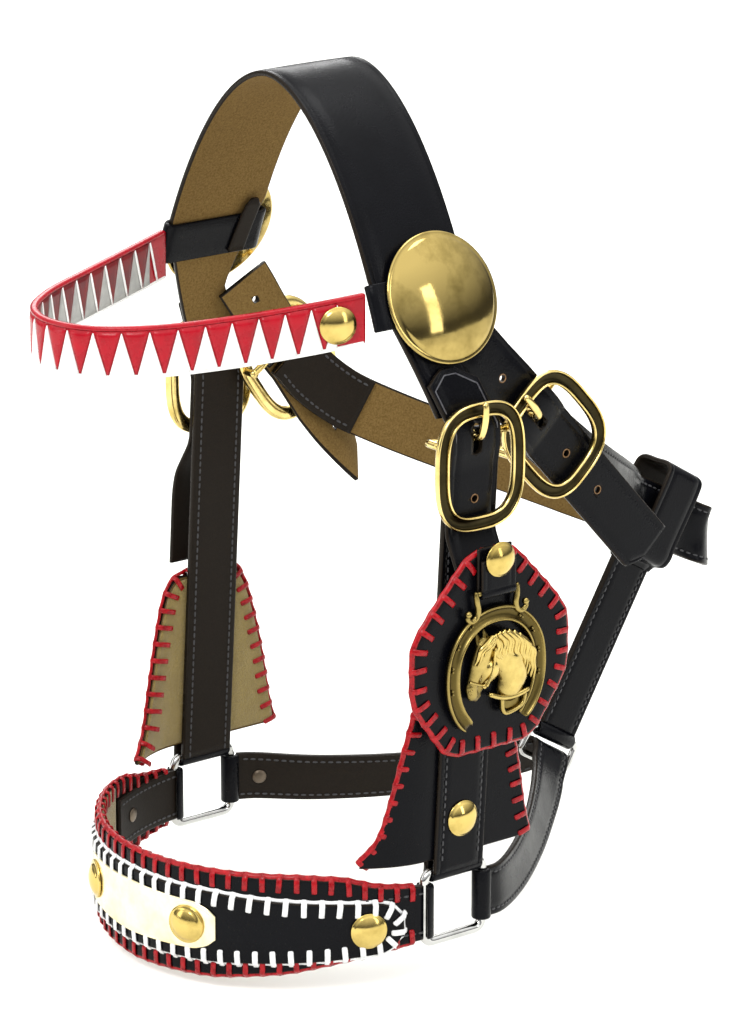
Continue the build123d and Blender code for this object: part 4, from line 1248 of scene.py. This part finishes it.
# ---- jaw, chin and throat straps ----------------------------------------------------------------
def jaw_strap():
    y, z = LINK_CENTRE
    across, up, out = V((0, LEAN_COS, -LEAN_SIN)), V((0, LEAN_SIN, LEAN_COS)), OUT
    half = STRAP / 2 - 2.0
    hub = V((0, y, z)) + up * (LINK_H / 2)
    reach, start, wide = 163.0, 111.5, 15.0
    piece = Piece("jaw_leather")
    rows = [(hub + up * h, across, out, -half, half) for h in spread(3.6, start - 2.0, 40)]
    strap(piece, rows, -2.0, 2.0, crease=0.3, pillow=0.15)
    section = bent_section(-half, half, [(0.8, 4.4), (0, 3.8), (0, 2.7), (0.3, 2.4)])
    bend(piece, section, (-150, 150, 26),
         lambda w, r, a: hub + across * w + out * (r * sin(a)) - up * (r * cos(a)))
    outline = [(2.0, start - 7.0), (5.0, start - 3.4), (wide - 3, start - 1.6), (wide - 0.9, start + 2.2),
               (wide - 1.3, start + 10), (wide - 1.3, reach - 8), (wide - 2.3, reach - 3.4),
               (wide - 5.5, reach - 1.4), (0, reach - 1.3)]
    outline += [(-x, h) for x, h in reversed(outline[:-1])]
    line = [hub + out * x + up * h for x, h, _ in spline([(x, h, 0) for x, h in outline], 90)]
    loop_rows = []
    for i, p in enumerate(line):
        t = tangent(line, i)
        loop_rows.append((p, across, across.cross(t).normalized(), -half, half))
    strap(piece, loop_rows, -1.3, 1.3, crease=0.3)
    piece.make([BLACK], replaces=["jaw_strap"])
    seam = Piece("jaw_stitching")
    for lift in (2.1, -2.1):
        stitches(seam, rows[2:-1], 3.4, 4.0, lift)
    seam.make([THREAD])


def chin_rows(count=150):
    bar_y = RING_Y + RING_SPAN / 2
    low = (V((0, *LINK_CENTRE))
           + V((0, -LEAN_SIN, -LEAN_COS)) * (LINK_H / 2 - LINK_WIRE - DOUBLE / 2 - LINK_SLACK))
    side = [(RING_X, bar_y + 3.5, -419.0), (RING_X - 3, bar_y + 14, -420.0), (88, 66, -422.0),
            (60, 101, -420.0), (34, 130, -414.0), (14, 150, -408.0)]
    path = [V(p) for p in side] + [low] + [V((-p[0], p[1], p[2])) for p in reversed(side)]
    points = spline(path, count)
    rows = []
    half = STRAP / 2 - 2.4
    for i, p in enumerate(points):
        u = i / count
        t = tangent(points, i)
        f = (1 - abs(2 * u - 1)) ** 1.4
        want = V((0, -LEAN_COS * f, (1 - f) + LEAN_SIN * f))
        out = t.cross(want).normalized()
        across = out.cross(t).normalized()
        rows.append((p, across, out, -half, half))
    return rows


def chin_strap():
    rows = chin_rows()
    bar_y = RING_Y + RING_SPAN / 2
    half = STRAP / 2 - 2.4
    piece = Piece("chin_leather")
    strap(piece, rows, -DOUBLE / 2, DOUBLE / 2, crease=0.3, pillow=0.2)
    for sign in (1, -1):
        bend(piece, upright_section(-half, half), (-140, 140, 28),
             lambda z, r, a: V((sign * RING_X + r * sin(a), bar_y - r * cos(a), -419 + z)))
    piece.make([BLACK], replaces=["chin_strap"])
    seam = Piece("chin_stitching")
    for lift in (DOUBLE / 2 + 0.1, -DOUBLE / 2 - 0.1):
        stitches(seam, rows[3:-3], 3.4, 4.3, lift)
    seam.make([THREAD])
    rivets = Piece("chin_rivet_heads")
    for row in (rows[14], rows[-15]):
        turned(rivets, row[0] - row[2] * (DOUBLE / 2 + 0.1), -row[2], stud_profile(4.0, 0.9, 0.5), sides=24)
    rivets.make([RIVET], replaces=["chin_strap_rivets"])


def throat_plan(side):
    """Middle line of the throat strap from the buckle bar to its turn, left side positive."""
    face, y, z, slope, _ = THROAT[side]
    x = face - 0.1 - DOUBLE / 2
    bar_at = V((0, y, z))
    knee = bar_at + V((0, cos(radians(slope)), -sin(radians(slope)))) * 36.0
    apex = V((0, *THROAT_APEX))
    ahead = knee + (apex - knee).normalized() * 44.0
    points = []
    for px, f in ((x, 0.09), (x - 0.5, 0.34), (x - 3.5, 0.66), (x - 13.0, 1.0)):
        p = bar_at.lerp(knee, f).lerp(knee.lerp(ahead, f), f)
        points.append((px, p.y, p.z))
    for px, py in ((54, 170), (27, 200), (9.5, 217), (6.4, 226), (6.2, 240), (8.0, 252)):
        points.append((px, py, blend(knee.z, apex.z, (py - knee.y) / (apex.y - knee.y))))
    return points


def throat_rows(count=220):
    left = [V(p) for p in throat_plan("left")]
    right = [V((-x, y, z)) for x, y, z in throat_plan("right")]
    turn = [V((11.0, 263, -294.0)), V((0, *THROAT_APEX)), V((-11.0, 263, -294.0))]
    points = spline(left + turn + list(reversed(right)), count)
    rows = []
    half = STRAP / 2
    for i, p in enumerate(points):
        t = tangent(points, i)
        out = t.cross(UP).normalized()
        across = out.cross(t).normalized()
        rows.append((p, across, out, -half, half))
    return rows


def throat_strap():
    rows = throat_rows()
    piece = Piece("throat_leather")
    strap(piece, rows, -DOUBLE / 2, DOUBLE / 2, crease=0.3)
    for side in SIDES:
        face, y, z, slope, _ = THROAT[side]
        chape(piece, face + BAR_LIFT, y, z, slope, side)
    piece.make([HALF], replaces=["throat_strap"])
    laps = Piece("throat_laps")
    for part in (rows[:26], rows[-26:]):
        strap(laps, part, -DOUBLE / 2 - 1.7, -DOUBLE / 2 - 0.05, crease=0.25)
    laps.make([BLACK])
    seam = Piece("throat_stitching")
    for part in (rows[2:25], rows[-25:-2]):
        stitches(seam, part, 3.6, 4.0, -DOUBLE / 2 - 1.75)
    stitches(seam, rows[2:-2], 3.6, 4.2, DOUBLE / 2 + 0.05)
    seam.make([THREAD])


def chape(piece, x, y, z, slope, side):
    """The strap's fold round a throat buckle's bar, split for the tongue."""
    half = STRAP / 2
    for lo, hi in ((-half, -TONGUE_GAP), (TONGUE_GAP, half)):
        bend(piece, bent_section(lo, hi, [(0.6, 4.2), (0, 3.6), (0, 2.6), (0.3, 2.35)]), (-100, 200, 22),
             lambda w, r, a: mirrored(placed((r * cos(a), w, r * sin(a)), x, y, z, slope), side),
             flip=side == "right")


def throat_billets():
    for side in SIDES:
        face, y0, z0, slope, tail = THROAT[side]
        d = V((0, cos(radians(slope)), -sin(radians(slope))))
        top = -60 if side == "left" else -46
        rows = []
        for t in spread(top, -24, 14) + spread(-22, 22, 34) + spread(24, tail, 50):
            point, out = throat_billet_at(side, t)
            across = V((0, -d.z, d.y))
            across = (across - out * across.dot(out)).normalized()
            if side == "right":
                turn = Matrix.Rotation(radians(table([(44, 0), (60, 14), (tail, 48)], t)), 3, d)
                across, out = turn @ across, turn @ out
            cut = table([(tail - 6, 0.0), (tail, 9.0)], t) if side == "left" else 0.0
            rows.append((point, -across, out, -STRAP / 2, STRAP / 2 - cut))
        billet("throat", side, rows, HALF, (face, y0, z0, slope), (32.0, -32.0, -64.0),
               lambda t: throat_billet_at(side, -t)[0].x + BILLET + 0.12)


def throat_billet_at(side, t):
    """Middle of the throat billet's inner face, and its normal, at distance t below the bar."""
    face, y0, z0, slope, _ = THROAT[side]
    y, z = y0 + cos(radians(slope)) * t, z0 - sin(radians(slope)) * t
    f = min(1.0, max(0.0, (-t - 14.0) / 28.0))
    f = f * f * (3 - 2 * f)
    under = min(arch_x(z) - BILLET - 0.9, face)
    out = (OUT * (1 - f) + arch_out(z) * f).normalized()
    return V((blend(face, under, f) + hump(t), y, z)), out


# ---- medallion ----------------------------------------------------------------------------------
def rounded_outline(corners, cut, steps=6):
    """Closed corner list with every corner replaced by a short curve."""
    line = []
    n = len(corners)
    for i in range(n):
        p, a, b = V(corners[i]), V(corners[i - 1]), V(corners[(i + 1) % n])
        reach = min(cut, (a - p).length * 0.45, (b - p).length * 0.45)
        start, stop = p + (a - p).normalized() * reach, p + (b - p).normalized() * reach
        for f in spread(0, 1, steps):
            line.append(start.lerp(p, f).lerp(p.lerp(stop, f), f))
    return arc_length_even(line + line[:1], 300)[:-1]


def pad_outline():
    top, low, half = PAD_TOP, PAD_TOP - PAD_HEIGHT, PAD_HALF
    right = [(13, top), (half - 9, top - 30), (half, top - 42), (half, top - 72), (27, low)]
    corners = right + [(-y, z) for y, z in reversed(right)]
    return rounded_outline([(PAD_X, PAD_Y + y, z) for y, z in corners], 9.0)


def inward_normals(outline):
    normals = []
    for i, p in enumerate(outline):
        t = tangent(outline, i, True)
        n = V((0, t.z, -t.y))
        centre = V((p.x, PAD_Y, PAD_TOP - PAD_HEIGHT / 2))
        normals.append(n if n.dot(centre - p) > 0 else -n)
    return normals


def pad():
    outline = pad_outline()
    normals = inward_normals(outline)
    out = V((1, 0, 0))
    centre = V((PAD_X, PAD_Y, PAD_TOP - PAD_HEIGHT / 2))
    rings, sides = [], []
    for inset, lift, side in ((0.9, 0.0, -1), (0.25, 0.3, 0), (0.0, 1.0, 0), (0.0, 2.0, 0),
                              (0.25, 2.7, 0), (0.9, 3.0, 1)):
        rings.append([p + n * inset + out * lift for p, n in zip(outline, normals)])
        sides += [side] * len(outline)
    for share in (0.9, 0.8, 0.6, 0.4, 0.2, 0.03):
        rings.append([centre + (p - centre) * share + out * (3.0 + 0.35 * (1 - share)) for p in outline])
        sides += [1.0] * len(outline)
    piece = Piece("pad_leather")
    piece.add(*skin(rings), sides)
    piece.make([HALF], replaces=["medallion_pad"])
    lace = Piece("pad_lace")
    blanket_stitch(lace, outline, normals, [out] * len(outline), 10.3, 7.6, 0.0, 3.0, closed=True, lace=3.1)
    lace.make([RED], replaces=["pad_lacing"])


def tab():
    piece = Piece("tab_leather")
    x = V((1, 0, 0))
    rows = [(V((0, PAD_Y, z)), -REAR, x, -11, 11) for z in spread(STUD_Z + 6, EYE_Z, 16)]
    strap(piece, rows, PAD_FRONT, PAD_FRONT + 2.0, crease=0.2)
    fold(piece, (PAD_FRONT + 3.0, EYE_Z), (PAD_Y - 11, PAD_Y + 11), 1.65, 3.0, 180, 440)
    front = [(V((0, PAD_Y, z)), -REAR, x, -11, 11) for z in spread(EYE_Z + 1.0, STUD_Z, 10)]
    strap(piece, front, PAD_FRONT + 3.6, PAD_FRONT + 5.4, crease=0.2)
    piece.make([BLACK], replaces=["medallion_tab"])
    stud = Piece("tab_stud_head")
    turned(stud, (PAD_FRONT + 5.3, PAD_Y, STUD_Z), x, stud_profile(9.2, 3.4, 1.2))
    stud.make([BRASS], replaces=["tab_stud"])


def on_brass(u, v, lift):
    """Casting coordinates (towards the rear, up, out of its face) to the headstall."""
    return V((BRASS_X + lift, SHOE_Y + u, SHOE_Z + v))


def brass_line(points, count, lift):
    """A smooth line over the casting through (u, v) points."""
    return [on_brass(p.y, p.z, lift) for p in spline([(0, u, v) for u, v in points], count)]


SHOE_LINE = [(-17.5, -29.5), (-23.6, -21.5), (-27.2, -12), (-28, -1), (-26, 10), (-20, 19.5),
             (-11, 25.6), (0, 27.5), (11, 25.6), (20, 19.5), (26, 10), (28, -1), (27.2, -12),
             (23.6, -21.5), (17.5, -29.5)]
SHOE_SECTION = [(4.1, 0.2), (4.3, 1.7), (4.0, 2.7), (3.45, 3.1), (2.9, 2.7), (2.5, 1.4), (0.2, 1.1),
                (-2.0, 1.4), (-2.4, 2.7), (-2.95, 3.1), (-3.6, 3.0), (-4.0, 2.2), (-4.1, 0.2),
                (-3.6, 0.0), (3.6, 0.0)]


def horseshoe(piece):
    line = arc_length_even(spline([(0, u, v) for u, v in SHOE_LINE], 200), 90)
    rings = []
    for i, p in enumerate(line):
        t = tangent(line, i)
        n = V((0, -t.z, t.y))
        end = min(i, 90 - i)
        scale = 1.0 if end > 3 else (0.72, 0.88, 0.96, 0.99)[end]
        rings.append([on_brass(p.y + n.y * w * scale, p.z + n.z * w * scale, h * (0.75 if end == 0 else 1))
                      for w, h in SHOE_SECTION])
    piece.add(*skin(rings))
    for i in (14, 21, 28, 35, 55, 62, 69, 76):
        p, q = line[i - 1], line[i + 1]
        t = (q - p).normalized()
        n = V((0, -t.z, t.y))
        at = (p + q) / 2 + n * 0.4
        for step in (-0.9, 0.9):
            spot = at + t * step
            turned(piece, on_brass(spot.y, spot.z, 1.3), (1, 0, 0),
                   [(0.75, 0), (0.75, 0.7), (0.5, 1.0), (0.05, 1.05)], sides=10)


HEAD = [  # tapered limbs of the head: (u, v, radius, lift) from one end to the other
    [(-6.5, 10.5, 6.6, 0.2), (-10.5, 2.5, 6.0, 0.3)],
    [(-11.0, 2.5, 5.4, 0.3), (-15.2, -8.0, 3.7, 0.1)],
    [(-15.6, -9.0, 3.9, 0.2), (-15.0, -12.2, 3.7, 0.2)],
    [(-13.0, -14.2, 2.4, 0.0), (-11.0, -13.4, 1.9, 0.0)],
    [(-4.6, -0.5, 6.6, 1.0), (-6.0, -3.5, 5.2, 0.6)],
    [(-9.0, -7.0, 3.6, 0.2), (-12.0, -11.0, 2.6, 0.0)],
    [(0.0, 8.5, 7.6, 0.2), (8.5, 1.0, 9.6, 0.0), (12.0, -7.0, 9.2, -0.4), (9.5, -13.0, 8.4, -0.6)],
    [(-6.6, 15.0, 2.5, 0.6), (-8.2, 20.5, 0.7, 0.4)],
    [(-10.6, 14.0, 2.2, 0.0), (-12.8, 19.8, 0.7, 0.0)],
]
LOCKS = [  # wavy locks: points (u, v), root radius
    [(-5.5, 17.0), (-9.0, 15.0), (-13.5, 12.0), (-14.5, 7.5), (-16.4, 4.0)],
    [(-5.0, 17.5), (-8.0, 13.5), (-11.5, 11.5), (-12.2, 8.6)],
    [(-4.0, 17.8), (-1.5, 13.0), (-2.5, 8.0), (1.0, 3.5), (0.0, -2.0)],
    [(-1.5, 18.4), (2.5, 13.5), (1.5, 8.0), (5.0, 3.0), (3.5, -3.5)],
    [(1.5, 18.6), (6.0, 13.8), (5.5, 8.0), (9.0, 3.0), (7.6, -4.0)],
    [(4.5, 18.2), (10.0, 13.0), (9.5, 7.5), (13.0, 2.0), (11.5, -5.0)],
    [(8.0, 17.0), (13.8, 11.5), (13.5, 6.0), (16.8, 0.5), (15.5, -6.0)],
    [(11.5, 15.0), (17.5, 9.0), (17.0, 3.5), (20.2, -2.0), (19.0, -8.0)],
    [(15.5, 11.8), (20.4, 5.5), (20.2, 0.0), (21.8, -5.0), (21.0, -10.0)],
]


def head_relief():
    """The head as one blended casting: tapered limbs fused by a fine remesh."""
    work = bmesh.new()
    for limb in HEAD:
        for a, b in zip(limb, limb[1:]):
            steps = 7
            for f in spread(0, 1, steps):
                u, v, r, lift = (blend(m, n, f) for m, n in zip(a, b))
                made = bmesh.ops.create_icosphere(work, subdivisions=3, radius=1.0)
                place = (Matrix.Translation(on_brass(u, v, lift + 0.8) * 0.001)
                         @ Matrix.Diagonal((r * 0.00058, r * 0.001, r * 0.001, 1)))
                bmesh.ops.transform(work, matrix=place, verts=made["verts"])
    mesh = bpy.data.meshes.new("head_rough")
    work.to_mesh(mesh)
    work.free()
    obj = bpy.data.objects.new("head_rough", mesh)
    bpy.context.scene.collection.objects.link(obj)
    remesh = obj.modifiers.new("fuse", "REMESH")
    remesh.mode, remesh.voxel_size = "VOXEL", 0.00042
    smooth = obj.modifiers.new("soften", "SMOOTH")
    smooth.factor, smooth.iterations = 0.5, 3
    bpy.context.view_layer.update()
    fused = bpy.data.meshes.new_from_object(obj.evaluated_get(bpy.context.evaluated_depsgraph_get()))
    bpy.data.objects.remove(obj, do_unlink=True)
    back = BRASS_X + 0.3
    verts = [V((max(v.co.x * 1000, back), v.co.y * 1000, v.co.z * 1000)) for v in fused.vertices]
    faces = [list(p.vertices) for p in fused.polygons]
    return verts, faces


FACE_LINES = [  # brow band, nose band, cheek piece and bit: points (u, v), lift, width
    ([(-3.4, 11.0), (-4.4, 3.0), (-6.6, -3.6), (-9.0, -8.2)], 5.3, 1.5),
    ([(-18.6, -4.6), (-14.0, -6.4), (-9.4, -8.2)], 3.4, 1.5),
    ([(-13.8, 9.6), (-9.0, 11.2), (-3.4, 11.2)], 4.6, 1.3),
    ([(-16.4, -12.2), (-17.8, -11.2), (-18.6, -9.6)], 2.6, 0.9),
]
HANGER = [  # one arm, from the pivot down to its curl: (out, along the pivot, up)
    (0, 12.8, 1.2), (0, 13.2, 0.2), (0.4, 13.0, -4.0), (0.4, 12.2, -8.5), (0.2, 13.4, -12.2),
    (0.2, 16.4, -13.6), (0.4, 19.0, -11.6), (0.6, 18.6, -9.2),
]


def horse_brass():
    piece = Piece("brass_casting")
    horseshoe(piece)
    piece.add(*head_relief())
    for number, lock in enumerate(LOCKS):
        lift = 3.6 if number > 1 else 4.3
        points = spline([(lift + 1.6 * sin(pi * min(1.0, k / 4 + 0.15)), u, v)
                         for k, (u, v) in enumerate(lock)], 26)
        path = [on_brass(p.y, p.z, p.x) for p in points]
        wire(piece, path, lambda f: 1.65 * (1 - f) ** 0.6 + 0.25, sides=8)
        twin = [p + V((0.35, 1.5, -0.9)) for p in path]
        wire(piece, twin, lambda f: 1.1 * (1 - f) ** 0.6 + 0.2, sides=8)
    for points, lift, width in FACE_LINES:
        wire(piece, brass_line(points, 14, lift), width / 2, sides=8)
    for u, v, r, lift in ((-11.9, 6.2, 1.5, 4.0), (-9.3, -8.4, 1.4, 4.4), (-17.0, -9.4, 0.9, 3.0)):
        turned(piece, on_brass(u, v, lift - 1), (1, 0, 0),
               [(r, 0), (r, 0.7), (r * 0.75, 1.2), (r * 0.3, 1.5), (0.04, 1.55)], sides=16)
    ups = [OUT] * 25
    collar = ((-6.0, -13.6), (2.0, -16.8), (11.0, -17.6), (20.5, -15.6))
    bar(piece, brass_line(collar, 24, 3.1), ups, 2.6, 3.4)
    lower = ((3.0, -16.5), (3.6, -24.0), (5.4, -26.0), (12.0, -25.2), (16.6, -22.8), (18.6, -16.6))
    bar(piece, brass_line(lower, 24, 2.4), ups, 2.2, 3.0)
    plate_line = [on_brass(u, -21.0, 1.3) for u in spread(4.0, 17.5, 4)]
    bar(piece, plate_line, ups[:5], 8.4, 1.4, power=0.4)
    x = PAD_FRONT + 3.0
    wire(piece, [V((x, PAD_Y + w, EYE_Z)) for w in spread(-13.0, 13.0, 6)], 1.3, sides=16)
    for sign in (-1, 1):
        path = spline([(x + out, PAD_Y + sign * w, EYE_Z + h) for out, w, h in HANGER], 36)
        wire(piece, path, lambda f: 1.15 + 0.55 * sin(pi * min(1, f * 1.05)) ** 0.7, sides=14)
        turned(piece, path[-1] - V((1.7, 0, 0)), (1, 0, 0),
               [(0.6, 0), (1.5, 0.5), (1.9, 1.6), (1.6, 2.7), (0.9, 3.3), (0.05, 3.5)], sides=18)
    piece.make([RELIEF_PAINTED_SHADE], body="medallion_brass", replaces=["horse_brass"])


def write_sizes():
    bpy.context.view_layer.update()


FLOOR_Z, FLOOR_REACH = -0.4592, 6.0     # metres
CAMERA_AT, CAMERA_AIM = (1.8377, -1.4037, 0.4687), V((0, 0.0336, -0.2397))
LAMP_AIM = V((0, 0.03, -0.23))


def studio():
    """Pale floor, camera and soft lights."""
    scene = bpy.context.scene
    floor = bpy.data.meshes.new("floor")
    s, z = FLOOR_REACH, FLOOR_Z
    floor.from_pydata([(-s, -s, z), (s, -s, z), (s, s, z), (-s, s, z)], [], [[0, 1, 2, 3]])
    obj = bpy.data.objects.new("floor", floor)
    scene.collection.objects.link(obj)
    pale, tree, shader = new_material("pale_floor")
    shader.inputs["Base Color"].default_value = (0.93, 0.93, 0.90, 1)
    shader.inputs["Roughness"].default_value = 0.9
    shader.inputs["Specular IOR Level"].default_value = 0.1
    floor.materials.append(pale)
    world = bpy.data.worlds.new("studio")
    world.use_nodes = True
    background = world.node_tree.nodes["Background"]
    tree = world.node_tree
    split = node(tree, "ShaderNodeSeparateXYZ")
    tree.links.new(node(tree, "ShaderNodeTexCoord").outputs["Generated"], split.inputs["Vector"])
    height = ramp(tree, split.outputs["Z"], 0.0, 1.0, 0.05, 0.75)
    sky = mix_colour(tree, height, (0.10, 0.10, 0.11), (1.7, 1.7, 1.67))
    tree.links.new(sky, background.inputs["Color"])
    scene.world = world
    scene.view_settings.view_transform = "Standard"
    lights = [("key", (0.9, -1.5, 1.6), (0.9, 0.9), 26), ("fill", (2.1, 0.7, 0.5), (0.4, 1.3), 6),
              ("front", (-0.9, -1.9, 0.3), (0.7, 1.2), 7), ("back", (-1.6, 1.0, 1.0), (0.8, 1.2), 14),
              ("top", (0.2, 0.5, 1.6), (0.8, 0.8), 10)]
    for name, place, size, power in lights:
        data = bpy.data.lights.new(name, "AREA")
        data.shape, data.size, data.size_y, data.energy = "RECTANGLE", size[0], size[1], power
        lamp = bpy.data.objects.new(name, data)
        lamp.location = place
        lamp.rotation_euler = (LAMP_AIM - V(place)).to_track_quat("-Z", "Y").to_euler()
        scene.collection.objects.link(lamp)
    camera = bpy.data.cameras.new("camera")
    camera.lens, camera.sensor_width = 163.5, 36.0
    camera.clip_start, camera.clip_end = 0.1, 30.0
    eye = bpy.data.objects.new("camera", camera)
    eye.location = CAMERA_AT
    eye.rotation_euler = (CAMERA_AIM - eye.location).to_track_quat("-Z", "Y").to_euler()
    scene.collection.objects.link(eye)
    scene.camera = eye


for build in (crown, browband, buckles, cheek_billets, cheek_straps, flaps, noseband, overlay, plate,
              rings, jaw_strap, chin_strap, throat_strap, throat_billets, pad, tab, horse_brass, studio,
              write_sizes):
    build()
